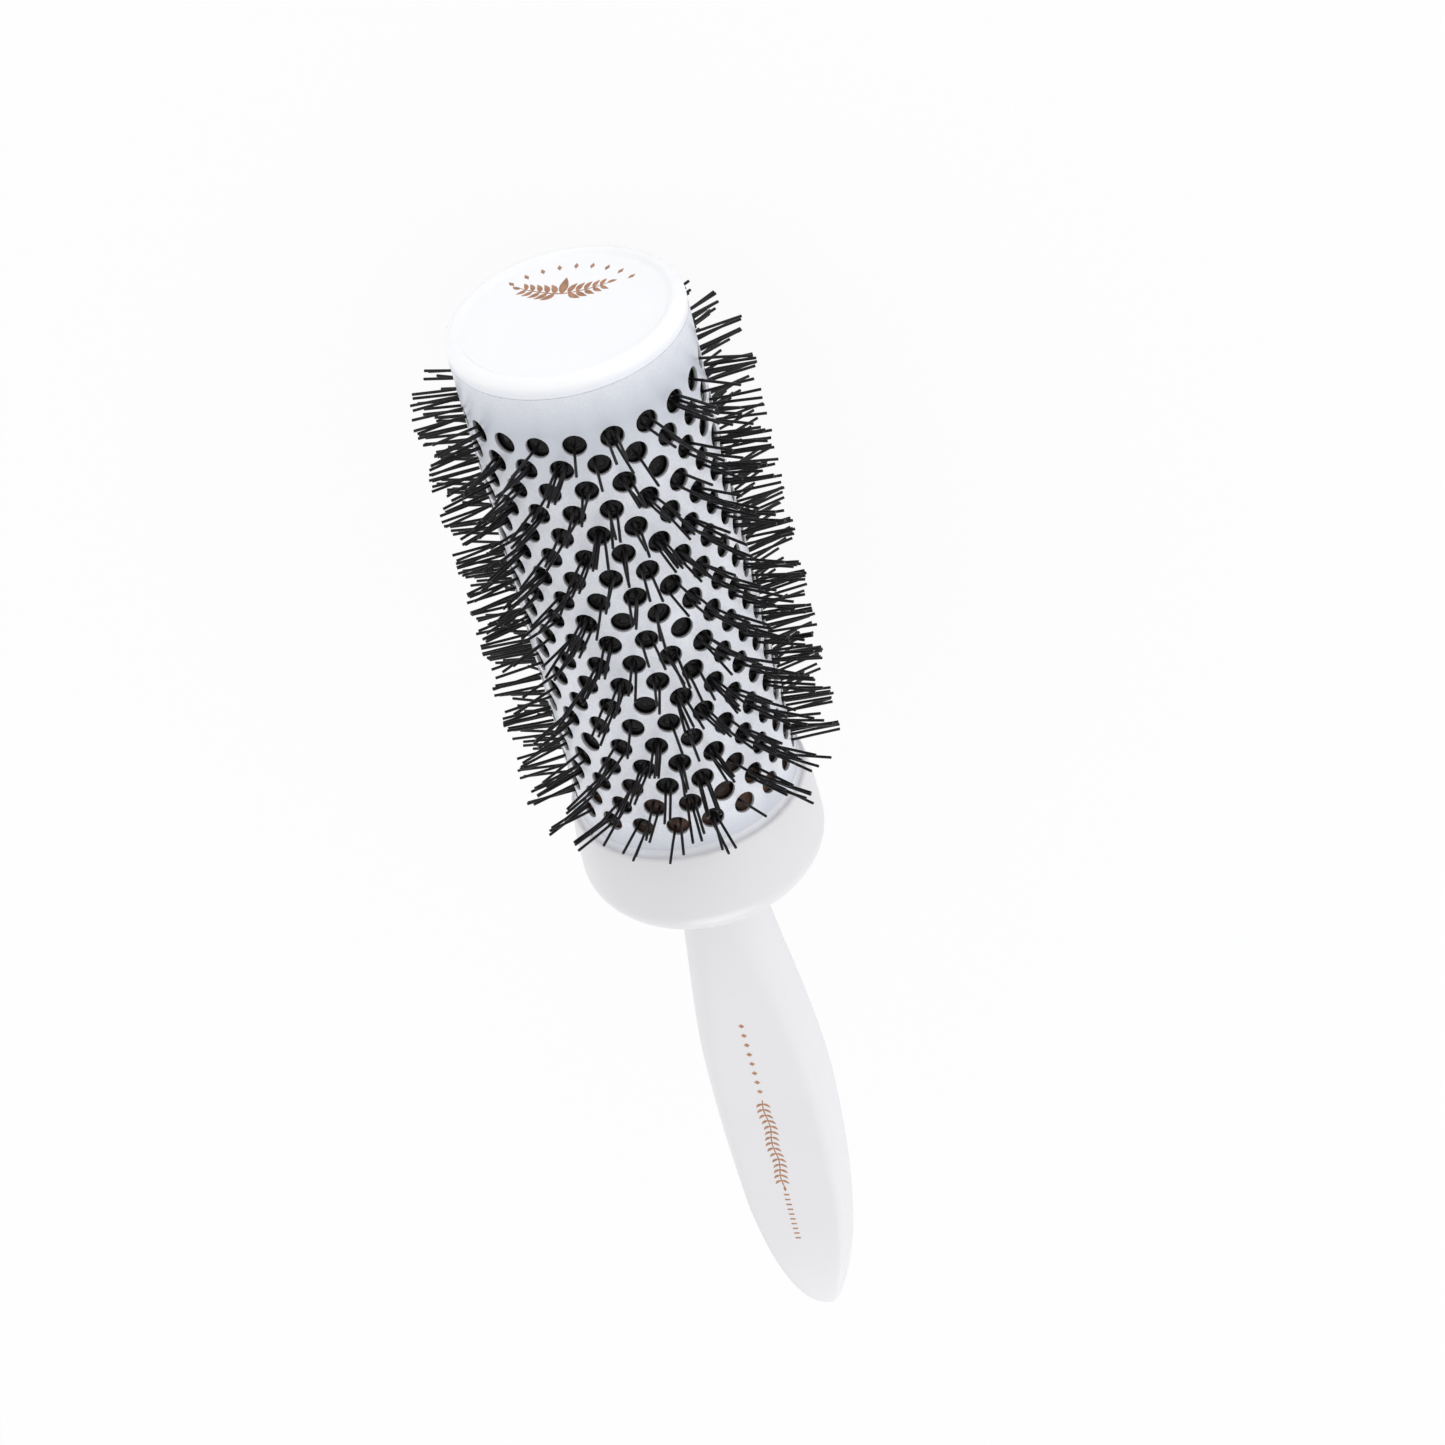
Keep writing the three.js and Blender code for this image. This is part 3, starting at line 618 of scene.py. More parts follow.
def pearl_finish(colours, sizes):
    """The barrel's coat: a pale lavender mottle with bright flakes under a thin clear layer.

    The coat carries painted shade round the cap-side row and the plain band, which fades back up to
    the seam, with painted shade again at the collar. It ends in the holes. The distance from the barrel's
    axis tells the outer skin from a hole's bare wall, which gets painted shade towards the inside.
    """
    material, tree, shader, place = new_finish("pearl_coat")
    speckle = add_node(tree, "ShaderNodeGroup", {"node_tree": speckle_group()}, Place=place).outputs
    base = mixed(tree, speckle["Mottle"], opaque(colours.coat_shade), opaque(colours.coat))
    flaked = mixed(tree, speckle["Flakes"], base, opaque(from_srgb(*FLAKE_COLOUR)))
    along = place_along(tree, place)
    first_row = first_row_x(sizes)
    # Painted shade: the coat darkens round the cap-side row of holes, fades back towards the seam, and
    # darkens again near the collar, where the tufts and the collar shade the barrel
    shade_near_cap = spread(tree, along, *(first_row + SHADE_PAST_ROW), 0.0, 1.0)
    shade_fade_to_seam = spread(tree, along, first_row + SHADE_FADE_PAST_ROW, SLEEVE_CAP_X, 1.0, 0.25)
    painted_shade = worked_out(tree, "MULTIPLY", shade_near_cap, shade_fade_to_seam)
    flaked = mixed(tree, painted_shade, flaked, opaque(colours.coat_painted_shade))
    shade_near_collar = spread(tree, along, *(RING_CAP_X + SHADE_PAST_RING), 0.7, 0.0)
    flaked = mixed(tree, shade_near_collar, flaked, opaque(colours.coat_painted_shade))
    across = add_node(
        tree, "ShaderNodeVectorMath", {"operation": "MULTIPLY_ADD"}, _0=place,
        _1=(0.0, 1.0, 1.0), _2=(0.0, 0.0, -AXIS_Z),
    )
    away = add_node(
        tree, "ShaderNodeVectorMath", {"operation": "LENGTH"}, _0=across.outputs["Vector"],
    ).outputs["Value"]
    inner = SLEEVE_RADIUS - sizes.sleeve_wall
    bare = spread(tree, away, SLEEVE_RADIUS - 0.3 * MM, SLEEVE_RADIUS - 0.06 * MM, 1.0, 0.0)
    # Painted shade: the hole's bare wall darkens to near black towards the inside
    deep = spread(tree, away, inner + 0.1 * MM, inner + 0.4 * MM, 1.0, 0.0)
    walled = mixed(tree, bare, flaked, opaque(colours.hole_wall))
    set_inputs(
        tree, shader, Base_Color=mixed(tree, deep, walled, opaque(colours.hole_wall, 0.12)),
        Roughness=spread(tree, speckle["Mottle"], 0, 1, 0.42, 0.3), Metallic=0.12,
        Coat_Weight=spread(tree, bare, 0.0, 1.0, 0.25, 0.0), Coat_Roughness=0.22,
    )
    add_bump(tree, shader, speckle["Height"], 0.4, 0.02 * MM)
    return material


def bristle_finish(colours):
    """Black nylon: drawn along the strand, so its gloss changes in fine streaks."""
    material, tree, shader, place = new_finish("bristle_nylon")
    streak = noise(tree, place, 1400.0, 3.0)
    set_inputs(
        tree, shader, Specular_IOR_Level=0.25,
        Base_Color=mixed(tree, streak, opaque(colours.bristle, 0.75), opaque(colours.bristle, 1.5)),
        Roughness=spread(tree, streak, 0.3, 0.7, 0.3, 0.46),
    )
    add_bump(tree, shader, streak, 0.3, 0.03 * MM)
    return material


def bed_finish(colours, sizes):
    """Glossy black bed, with a brown stain that fades in towards the collar end."""
    material, tree, shader, place = new_finish("bed_gloss")
    stain_end = BED_BASE_X + sizes.row_to_bed_end + 2.2 * row_pitch(sizes)
    nearness = spread(tree, place_along(tree, place), BED_BASE_X, stain_end, 1.0, 0.0)
    patches = spread(tree, noise(tree, place, 130.0, 2.0), 0.38, 0.62, 0.0, 1.0)
    stained = worked_out(tree, "MULTIPLY", nearness, patches)
    ripple = noise(tree, place, 900.0, 2.0)
    set_inputs(
        tree, shader, Specular_IOR_Level=0.18,
        Base_Color=mixed(tree, stained, opaque(colours.bed), opaque(colours.bed_stain)),
        Roughness=spread(tree, ripple, 0.3, 0.7, 0.12, 0.24),
    )
    add_bump(tree, shader, ripple, 0.3, 0.05 * MM)
    return material


def metal_finish(name, tint, roughness, line_scale):
    """Metal turned on a lathe: fine rings round the axis change its gloss."""
    material, tree, shader, place = new_finish(name)
    stretched = add_node(tree, "ShaderNodeMapping", Vector=place, Scale=(line_scale, 60.0, 60.0))
    rings = noise(tree, stretched.outputs["Vector"], 1.0, 4.0)
    set_inputs(
        tree, shader, Base_Color=mixed(tree, rings, opaque(tint, 0.85), opaque(tint)),
        Roughness=spread(tree, rings, 0.3, 0.7, roughness - 0.06, roughness + 0.08), Metallic=1.0,
    )
    add_bump(tree, shader, rings, 0.2, 0.01 * MM)
    return material


def foil_finish(colours):
    """Stamped foil: satin rose gold with small worn and darker patches."""
    material, tree, shader, place = new_finish("rose_gold_foil")
    patches = spread(tree, noise(tree, place, 900.0, 4.0), 0.35, 0.65, 0.0, 1.0)
    set_inputs(
        tree, shader, Base_Color=mixed(tree, patches, opaque(colours.foil, 0.7), opaque(colours.foil)),
        Roughness=spread(tree, patches, 0, 1, 0.45, 0.3), Metallic=0.55,
    )
    add_bump(tree, shader, patches, 0.15, 0.01 * MM)
    return material


# Shapes of the pieces


def hole_centres(sizes):
    """Place along X and angle of each hole, as [row, column]. Rows shift by half a step in turn."""
    last_x = BED_BASE_X + sizes.row_to_bed_end
    rows = np.arange(sizes.hole_rows)
    step = 2 * math.pi / sizes.holes_per_row
    shift = np.where(rows % 2 == 0, 0.5, 0.0)
    x = np.linspace(first_row_x(sizes), last_x, sizes.hole_rows)
    turn = (np.arange(sizes.holes_per_row)[None, :] + shift[:, None]) * step
    return np.broadcast_to(x[:, None], turn.shape), turn


def cell_outline(sizes, side_steps=2, slant_steps=4):
    """The six-sided cell round a hole, as [around, along] points on the outer skin.

    A cell's border lies half-way to each neighbouring hole, so neighbouring cells share their
    border points. Two sides lie across the row and four lean to the rows above and below.
    """
    pitch = row_pitch(sizes)
    half_step = math.pi * SLEEVE_RADIUS / sizes.holes_per_row
    side = (pitch ** 2 - half_step ** 2) / (2 * pitch)
    peak = pitch - side
    corners = np.array([
        (half_step, -side), (half_step, side), (0, peak),
        (-half_step, side), (-half_step, -side), (0, -peak),
    ])
    steps = (side_steps, slant_steps, slant_steps) * 2
    stretches = []
    for i, count in enumerate(steps):
        part = np.arange(count)[:, None] / count
        stretches.append(corners[i] * (1 - part) + corners[(i + 1) % len(corners)] * part)
    top = slice(side_steps, side_steps + 2 * slant_steps + 1)
    return np.concatenate(stretches), top


def perforated_tube(sizes):
    """The barrel's sleeve: a cell of rings round each hole, from the cell's border to the hole's edge,
    down its wall and back to the border on the inner skin, with a plain strip to each end.

    Returns points, their normals and quads. The normals are square to the tube on its skins and
    point into the hole on its wall, so the coated edge between them shades as a round one.
    """
    outline, top = cell_outline(sizes)
    radius = sizes.hole_diameter / 2
    spoke = outline / np.linalg.norm(outline, axis=1)[:, None]
    rings = np.stack([outline, spoke * (radius + sizes.hole_edge), spoke * radius, spoke * radius, outline])
    depth = np.array([0, 0, sizes.hole_edge, sizes.sleeve_wall, sizes.sleeve_wall])[:, None]
    lift = np.array([1, 1, 0, 0, -1])[:, None]

    centre_x, centre_turn = hole_centres(sizes)
    x = centre_x[..., None, None] + rings[None, None, ..., 1]
    turn = centre_turn[..., None, None] + rings[None, None, ..., 0] / SLEEVE_RADIUS
    points = around(x, SLEEVE_RADIUS - depth, turn).reshape(-1, 3)
    axis_side = np.stack([0 * turn, -np.sin(turn), np.cos(turn)], -1)
    across = np.stack([0 * turn, -np.cos(turn), -np.sin(turn)], -1)
    inward = -spoke[None, None, None, :, 0, None] * across
    inward[..., 0] -= spoke[None, None, None, :, 1]
    normals = np.where(lift[..., None] != 0, axis_side * lift[..., None], inward).reshape(-1, 3)

    ring_count, spokes = rings.shape[:2]
    cell = grid_faces(ring_count, spokes, close_columns=True)
    holes = centre_x.size
    faces = [(cell[None] + np.arange(holes)[:, None, None] * ring_count * spokes).reshape(-1, 4)]

    strip_points, strip_normals = [points], [normals]
    count = len(points)
    base = slice(top.start + len(outline) // 2, None)
    for row, part, end_x in ((0, outline[top], SLEEVE_CAP_X),
                             (-1, np.concatenate([outline[base], outline[:1]]), SLEEVE_BASE_X)):
        border_x = (centre_x[row][:, None] + part[None, :, 1]).ravel()
        border_turn = (centre_turn[row][:, None] + part[None, :, 0] / SLEEVE_RADIUS).ravel()
        inner = SLEEVE_RADIUS - sizes.sleeve_wall
        end = np.full_like(border_x, end_x)
        ends = [around(border_x, SLEEVE_RADIUS, border_turn), around(end, SLEEVE_RADIUS, border_turn),
                around(end, inner, border_turn), around(border_x, inner, border_turn)]
        grid = np.arange(4 * len(border_x)).reshape(4, -1, len(part))
        numbered = grid.transpose(1, 0, 2).reshape(len(centre_x[0]), -1)
        quads = numbered[:, grid_faces(4, len(part))].reshape(-1, 4)
        strip_points.append(np.concatenate(ends))
        away = np.stack([0 * border_turn, -np.sin(border_turn), np.cos(border_turn)], -1)
        strip_normals.append(np.concatenate([away, away, -away, -away]))
        faces.append(quads[:, ::-1] + count)
        count += len(strip_points[-1])
    return merged(np.concatenate(strip_points), np.concatenate(strip_normals), np.concatenate(faces))


def merged(points, normals, faces, grain=1e-6):
    """Points that fall in the same small cube become one, and the faces follow them."""
    cube = np.floor(points / grain + 0.37).astype(np.int64)
    _, kept, place = np.unique(cube, axis=0, return_index=True, return_inverse=True)
    return points[kept], normals[kept], place.reshape(-1)[faces]


def bed_shell(sizes, middle, half, steps=30):
    """A quarter tube between two radii, as a closed ring of points carried along X with flat ends."""
    outer = bed_radius(sizes)
    inner = outer - sizes.bed_wall
    half -= sizes.clearance / 2 / outer
    turn = middle + np.linspace(-half, half, steps + 1)
    section_turn = np.concatenate([turn, turn[::-1]])
    section_radius = np.repeat([outer, inner], steps + 1)
    ends = np.array([BED_BASE_X, BED_CAP_X])
    points = around(ends[:, None], section_radius[None, :], section_turn[None, :])
    side = grid_faces(2, points.shape[1], close_columns=True)
    flat = points.reshape(-1, 3)
    count = points.shape[1]
    first = np.arange(steps)
    face = np.stack([first, first + 1, count - 2 - first, count - 1 - first], -1)
    faces = np.concatenate([side, face, face[:, ::-1] + count])
    return flat, outward(flat, faces)


def knots(sizes, x, turn, sides=12):
    """A low round knot on the bed in each hole: rings of a flattened dome, closed under the bed's skin."""
    skin_radius = bed_radius(sizes)
    rise = np.array([-0.6, 0.3, 0.85])
    width = np.array([1.12, 0.85, 0.4])
    phase = np.linspace(0, 2 * math.pi, sides, endpoint=False)
    across = sizes.knot_radius * width[:, None] * np.cos(phase)[None, :]
    along = sizes.knot_radius * width[:, None] * np.sin(phase)[None, :]
    height = np.broadcast_to(rise[:, None] * sizes.knot_height, across.shape)
    ring_x = x[:, None, None] + along[None]
    ring_turn = turn[:, None, None] + across[None] / skin_radius
    rings = around(ring_x, skin_radius + height[None], ring_turn)
    poles_low = around(x, skin_radius + rise[0] * sizes.knot_height, turn)
    poles_high = around(x, skin_radius + sizes.knot_height, turn)
    points = np.concatenate([rings.reshape(len(x), -1, 3), poles_low[:, None], poles_high[:, None]], 1)
    _, sets = closed_rings(rings[0], poles_low[0], poles_high[0])
    return repeated(points, match_outward(points[0] - points[0].mean(0), sets))


def repeated(points, sets):
    """The faces of one shape, repeated for each copy of its points."""
    copies, per_copy, _ = points.shape
    offsets = np.arange(copies)[:, None, None] * per_copy
    return points.reshape(-1, 3), [(faces[None] + offsets).reshape(-1, faces.shape[1]) for faces in sets]


def tuft_strands(sizes, holes, rng):
    """Where each bristle of so many holes stands: its hole, and its foot as [around, along] from there.

    A hole holds none to four bristles, spread round a small circle with some play.
    """
    counts = rng.choice(len(BRISTLES_PER_HOLE), size=holes, p=BRISTLES_PER_HOLE)
    hole = np.repeat(np.arange(holes), counts)
    number = np.concatenate([np.arange(count) for count in counts]) if len(hole) else np.zeros(0)
    start = rng.uniform(0, 2 * math.pi, holes)[hole]
    phase = start + 2 * math.pi * number / np.maximum(counts[hole], 1) + rng.normal(0, 0.25, len(hole))
    radius = sizes.tuft_spread * np.sqrt(rng.uniform(0.12, 1.0, len(hole)))
    foot = np.stack([radius * np.cos(phase), radius * np.sin(phase)], -1)
    return hole, foot


def strands(sizes, x, turn, rng, sides=8, rings=3):
    """Bristles as thin prisms with square-cut tips.

    A strand's middle line runs from its foot in the direction of the hole, leans aside a little
    and bends with the square of the way along it. It ends at the tip radius, or on the floor.
    """
    hole, foot = tuft_strands(sizes, len(x), rng)
    foot_turn = turn[hole] + foot[:, 0] / bed_radius(sizes)
    root = around(x[hole] + foot[:, 1], bed_radius(sizes) - 0.3 * sizes.bed_wall, foot_turn)
    upright = np.stack([0 * foot_turn, -np.sin(turn[hole]), np.cos(turn[hole])], -1)
    sideways = np.stack([0 * foot_turn, -np.cos(turn[hole]), -np.sin(turn[hole])], -1)
    lengthways = np.broadcast_to([1.0, 0.0, 0.0], upright.shape)
    lean = rng.normal(0, STRAND_LEAN_SHARE * sizes.strand_lean, (len(hole), 2))
    lean += rng.normal(0, TUFT_LEAN_SHARE * sizes.strand_lean, (len(x), 2))[hole]
    direction = upright + np.tan(lean[:, :1]) * sideways + np.tan(lean[:, 1:]) * lengthways
    direction /= np.linalg.norm(direction, axis=1)[:, None]

    off_axis = root - np.array([0, 0, AXIS_Z])
    start = np.linalg.norm(off_axis[:, 1:], axis=1)
    tip_radius = TIP_RADIUS * rng.uniform(*TIP_REACH, len(hole))
    tip = direction[:, 1:]
    along = (off_axis[:, 1:] * tip).sum(1)
    size = (tip ** 2).sum(1)
    reach_out = (-along + np.sqrt(along ** 2 - size * (start ** 2 - tip_radius ** 2))) / size
    falling = np.maximum(-direction[:, 2], 1e-9)
    to_floor = (root[:, 2] - 0.5 * sizes.strand_width) / falling
    reach_out = np.where(direction[:, 2] < 0, np.minimum(reach_out, to_floor), reach_out)

    bend_turn = rng.uniform(0, 2 * math.pi, len(hole))
    first_side = np.cross(direction, lengthways)
    first_side /= np.linalg.norm(first_side, axis=1)[:, None]
    second_side = np.cross(direction, first_side)
    bend = np.cos(bend_turn)[:, None] * second_side + np.sin(bend_turn)[:, None] * sideways * 0.6
    bend *= sizes.strand_bend * rng.uniform(0, 1, (len(hole), 1))
    bend[:, 2] = np.where(root[:, 2] < AXIS_Z, np.maximum(bend[:, 2], 0), bend[:, 2])
    part = np.linspace(0, 1, rings)
    middle = (root[:, None] + direction[:, None] * (reach_out[:, None] * part)[..., None]
              + bend[:, None] * (part ** 2)[None, :, None])
    phase = np.linspace(0, 2 * math.pi, sides, endpoint=False)
    circle = first_side[:, None] * np.cos(phase)[None, :, None]
    circle = circle + second_side[:, None] * np.sin(phase)[None, :, None]
    points = middle[:, :, None] + 0.5 * sizes.strand_width * circle[:, None]
    points = points.reshape(len(hole), -1, 3)
    side_faces = grid_faces(rings, sides, close_columns=True)
    ring = np.arange(sides)
    caps = np.stack([ring[::-1], ring + (rings - 1) * sides])
    sets = [side_faces, caps]
    probe = points[0] - points[0].mean(0)
    if outward(probe, side_faces) is not side_faces:
        sets = [faces[:, ::-1] for faces in sets]
    return repeated(points, sets)


def cap_face(sizes, radius):
    """Place along X of the cap's face: a bowl that rises with the square of the radius."""
    dish = CAP_RADIUS - sizes.cap_rim_round - sizes.cap_dish_edge
    return CAP_TOP_X - sizes.cap_dish_depth + sizes.cap_bowl * (radius / dish) ** 2


def end_cap_profile(sizes):
    """The cap in section: a hollow face, a rounded rim flush with the barrel, and a ring that snaps in.

    The rim is a quarter of a circle, and the slope from the face up to it is a smooth step.
    """
    crest = CAP_RADIUS - sizes.cap_rim_round
    dish = crest - sizes.cap_dish_edge
    rim_x = CAP_TOP_X - sizes.cap_rim_round
    under_x = CAP_TOP_X - sizes.cap_height
    seam_x = SLEEVE_CAP_X + sizes.seam_gap
    bore = SLEEVE_RADIUS - sizes.sleeve_wall
    ring_bore = sizes.cap_ring_radius - sizes.cap_ring_wall
    edge = sizes.edge_round / 2
    face_radius = np.linspace(0, dish, 13)
    face = np.stack([cap_face(sizes, face_radius), face_radius], -1)
    blend = np.linspace(0, 1, 17)[1:]
    ease = blend ** 2 * (3 - 2 * blend)
    rise = CAP_TOP_X - face[-1, 0]
    slope = np.stack([face[-1, 0] + rise * ease, dish + (crest - dish) * blend], -1)
    rim = ellipse_arc(rim_x, crest, sizes.cap_rim_round, sizes.cap_rim_round, math.pi / 2, 0, 24)
    under = rounded_profile(
        [(rim_x, CAP_RADIUS), (seam_x, CAP_RADIUS), (seam_x, bore), (under_x, bore),
         (under_x, sizes.cap_ring_radius), (CAP_RING_X, sizes.cap_ring_radius), (CAP_RING_X, ring_bore),
         (under_x, ring_bore), (under_x, 0)],
        [0, edge, 0, 0, 0, edge, edge, 0, 0], 4, 0.02 * MM,
    )
    return np.concatenate([face, slope, rim[1:], under[1:]])


def collar_profile(sizes):
    """The collar in section: a rounded lip, a slight swell, a bowl-shaped base, and a boss inside."""
    bore = SLEEVE_RADIUS + sizes.clearance
    lip_radius = bore + sizes.collar_lip_wall
    lip_end_x = COLLAR_LIP_X - sizes.collar_lip_round
    dome_x = COLLAR_SEAT_X + sizes.collar_dome_length
    ledge_x = COLLAR_LIP_X - sizes.collar_socket_depth
    boss_bore = sizes.spigot_radius + sizes.clearance
    boss = boss_bore + sizes.socket_wall
    cavity = bore - sizes.collar_ledge
    floor_x = COLLAR_SEAT_X + sizes.collar_floor
    swell_turn = math.acos(lip_radius / COLLAR_RADIUS)
    swell = (lip_end_x - dome_x) / math.sin(swell_turn)
    seat_turn = math.acos(sizes.collar_seat_radius / COLLAR_RADIUS)
    dome = sizes.collar_dome_length / math.sin(seat_turn)
    floor_turn = math.acos(boss / cavity)
    hollow = (dome_x - floor_x) / math.sin(floor_turn)
    lip = ellipse_arc(
        lip_end_x, lip_radius - sizes.collar_lip_round, sizes.collar_lip_round, sizes.collar_lip_round,
        math.pi / 2, 0, 8,
    )
    return np.concatenate([
        [(COLLAR_LIP_X, bore + sizes.edge_round), (COLLAR_LIP_X, bore + 2 * sizes.edge_round)],
        lip,
        ellipse_arc(dome_x, 0, swell, COLLAR_RADIUS, swell_turn, 0, 12)[1:],
        ellipse_arc(dome_x, 0, dome, COLLAR_RADIUS, 0, -seat_turn, 36)[1:],
        [(COLLAR_SEAT_X, boss_bore), (SPIGOT_TOP_X, boss_bore), (SPIGOT_TOP_X, boss)],
        ellipse_arc(dome_x, 0, hollow, cavity, -floor_turn, 0, 12),
        [(ledge_x, cavity), (ledge_x, bore), (COLLAR_LIP_X - sizes.edge_round, bore)],
    ])


def ring_profile(sizes):
    """The seam ring in section: a hollow quarter of an ellipse from the barrel down to the collar's lip."""
    bore = SLEEVE_RADIUS + sizes.seam_gap
    low = COLLAR_LIP_X + sizes.seam_gap
    foot = low + sizes.ring_edge
    fillet = ellipse_arc(
        RING_CAP_X, RING_RADIUS, RING_CAP_X - foot, RING_RADIUS - bore, math.pi, 1.5 * math.pi, 12,
    )
    return np.concatenate([[(low, bore)], fillet, [(low, RING_RADIUS)]])


def handle_form(sizes, along, inset=0.0):
    """Half-width, crown, face height, back depth and middle height at shares of the handle's length.

    The width swells from the neck as a power of a sine and narrows as a parabola to a round tip.
    The face and the back fall to nothing at the tip as roots of powers, and the middle rises evenly.
    """
    neckward = np.clip(1 - along / HANDLE_WIDEST_SHARE, 0, 1)
    tipward = np.clip((along - HANDLE_WIDEST_SHARE) / (1 - HANDLE_WIDEST_SHARE), 0, 1)
    neck = sizes.handle_neck_width / 2
    swell = np.sin(math.pi / 2 * (1 - neckward)) ** HANDLE_SWELL_POWER
    width = (neck + (HANDLE_HALF_WIDTH - neck) * swell) * (1 - HANDLE_NARROWING * tipward ** 2)
    width = width * np.sqrt(1 - tipward ** HANDLE_TIP_POWER)
    middle = AXIS_Z - sizes.handle_set_back * (1 - 0.6 * neckward) + sizes.handle_tip_rise * tipward
    full_back = AXIS_Z - sizes.handle_set_back - HANDLE_BACK_Z
    face = sizes.handle_front * np.sqrt(1 - tipward ** HANDLE_FACE_POWER)
    back = full_back * (1 - 0.08 * neckward) * np.sqrt(1 - tipward ** HANDLE_BACK_POWER)
    flat = np.interp(along, HANDLE_FLAT_SHARES[:, 0], HANDLE_FLAT_SHARES[:, 1])
    crown = face / np.sqrt(1 - flat ** 2)
    scale = np.maximum(face - inset, 0) / np.maximum(face, 1e-9)
    return width - inset, crown * scale, face - inset, back - inset, middle


def face_height(sizes, crown, face, across):
    """Height of the handle's front: the lower of an arched and a flat height, with a soft ridge.

    The ridge is softer where the face is low, as it is near the tip.
    """
    arch = crown * np.sqrt(np.clip(1 - across ** 2, 0, 1))
    soft = np.minimum(sizes.handle_ridge * (2.2 - 1.2 * face / sizes.handle_front), 0.5 * face)
    lower = (arch + face - np.sqrt((arch - face) ** 2 + soft ** 2)) / 2
    rest = (face - np.sqrt(face ** 2 + soft ** 2)) / 2
    return lower - rest * (1 - np.clip(arch / np.maximum(face, 1e-9), 0, 1))


def handle_rings(sizes, along, inset=0.0):
    """Sections of the handle as [ring, place round it]: a soft-ridged front over an elliptic back."""
    neck_x, handle_length = handle_line(sizes)
    width, crown, face, back, middle = (value[:, None] for value in handle_form(sizes, along, inset))
    turn = np.linspace(0, 2 * math.pi, HANDLE_STEPS, endpoint=False)[None, :]
    across = np.cos(turn)
    rise = np.where(np.sin(turn) >= 0, face_height(sizes, crown, face, across), back * np.sin(turn))
    x = neck_x - along[:, None] * handle_length
    return np.stack(np.broadcast_arrays(x, width * across, middle + rise), -1)


def circle_rings(stations):
    """Rings round the axis at [x, radius] stations, numbered like the handle's sections."""
    turn = np.linspace(0, 2 * math.pi, HANDLE_STEPS, endpoint=False)[None, :]
    x, radius = np.array(stations).T[..., None]
    points = x, radius * np.cos(turn), AXIS_Z + radius * np.sin(turn)
    return np.stack(np.broadcast_arrays(*points), -1)


def handle_skin(sizes):
    """The handle as one closed shell: tip, outside, neck, spigot, the insert's hole and the hollow."""
    neck_x, handle_length = handle_line(sizes)
    ease = np.sin(np.linspace(0, math.pi / 2, 111))
    along = HANDLE_WIDEST_SHARE + (1 - HANDLE_WIDEST_SHARE) * ease[::-1]
    outer = np.concatenate([along[1:], np.linspace(HANDLE_WIDEST_SHARE, 0, 71)[1:]])
    rings = handle_rings(sizes, outer)
    pull = np.array([0.02, 0.1, 0.3, 0.5])
    centre = np.array([neck_x, 0, AXIS_Z])
    shoulder = centre + (handle_rings(sizes, 0 * pull) - centre) * (1 - pull[:, None, None] * 0.2)
    shoulder[..., 0] = neck_x
    bore_end_x = neck_x - sizes.hollow_start
    spigot = circle_rings([
        (neck_x, sizes.spigot_radius),
        (SPIGOT_TOP_X - sizes.edge_round, sizes.spigot_radius),
        (SPIGOT_TOP_X, sizes.spigot_radius - sizes.edge_round),
        (SPIGOT_TOP_X, sizes.insert_hole_radius),
        (bore_end_x, sizes.insert_hole_radius),
    ])
    hollow_span = (handle_length - sizes.hollow_start - sizes.hollow_end) / handle_length
    hollow_along = sizes.hollow_start / handle_length + hollow_span * np.linspace(0, 1, 30)
    hollow = handle_rings(sizes, hollow_along, sizes.handle_wall)
    all_rings = np.concatenate([rings, shoulder, spigot, hollow])
    tip = np.array([neck_x - handle_length, 0, AXIS_Z - sizes.handle_set_back + sizes.handle_tip_rise])
    points, sets = closed_rings(all_rings, tip, hollow[-1].mean(0))
    skin = Skin()
    skin.add(points, match_outward(points, sets))
    return skin


# Stamped foil ornament


def ribbon(line, half_width, lift, to_surface):
    """A thin strip along a drawn line, pointed where its half-width is 0, laid on a surface.

    The strip is a grid of four corners for each point of the line, closed by poles at its ends.
    """
    line = np.asarray(line, float)
    tangent = np.gradient(line, axis=0)
    tangent /= np.linalg.norm(tangent, axis=1)[:, None]
    normal = np.stack([-tangent[:, 1], tangent[:, 0]], -1)
    half_width = np.broadcast_to(half_width, len(line))[:, None]
    left, right = line + normal * half_width, line - normal * half_width
    rings = np.stack([
        to_surface(left, lift), to_surface(right, lift), to_surface(right, -lift), to_surface(left, -lift),
    ], 1)
    ends = to_surface(line[[0, -1]] + (tangent * half_width)[[0, -1]] * [[-0.5], [0.5]], 0)
    return closed_rings(rings, *ends)


def leaf(start, direction, leaf_length, width, bow=0.12, steps=9):
    """Middle line and half-widths of a pointed leaf whose line bows to one side."""
    part = np.linspace(0.02, 0.98, steps)
    ahead = np.array([math.cos(direction), math.sin(direction)])
    aside = np.array([-ahead[1], ahead[0]])
    line = start + leaf_length * (part[:, None] * ahead + bow * np.sin(math.pi * part)[:, None] * aside)
    return line, width / 2 * np.sin(math.pi * part ** 0.8)


def point_on(line, shares, share_along):
    """The point of a drawn line at one share of its length."""
    return np.array([np.interp(share_along, shares, line[:, axis]) for axis in (0, 1)])


def cap_surface(sizes):
    """Puts drawn points [y, z from the axis] on the cap's face."""
    def place(points, lift):
        x = cap_face(sizes, np.linalg.norm(points, axis=1))
        return np.stack([x + lift, points[:, 0], AXIS_Z + points[:, 1]], -1)
    return place


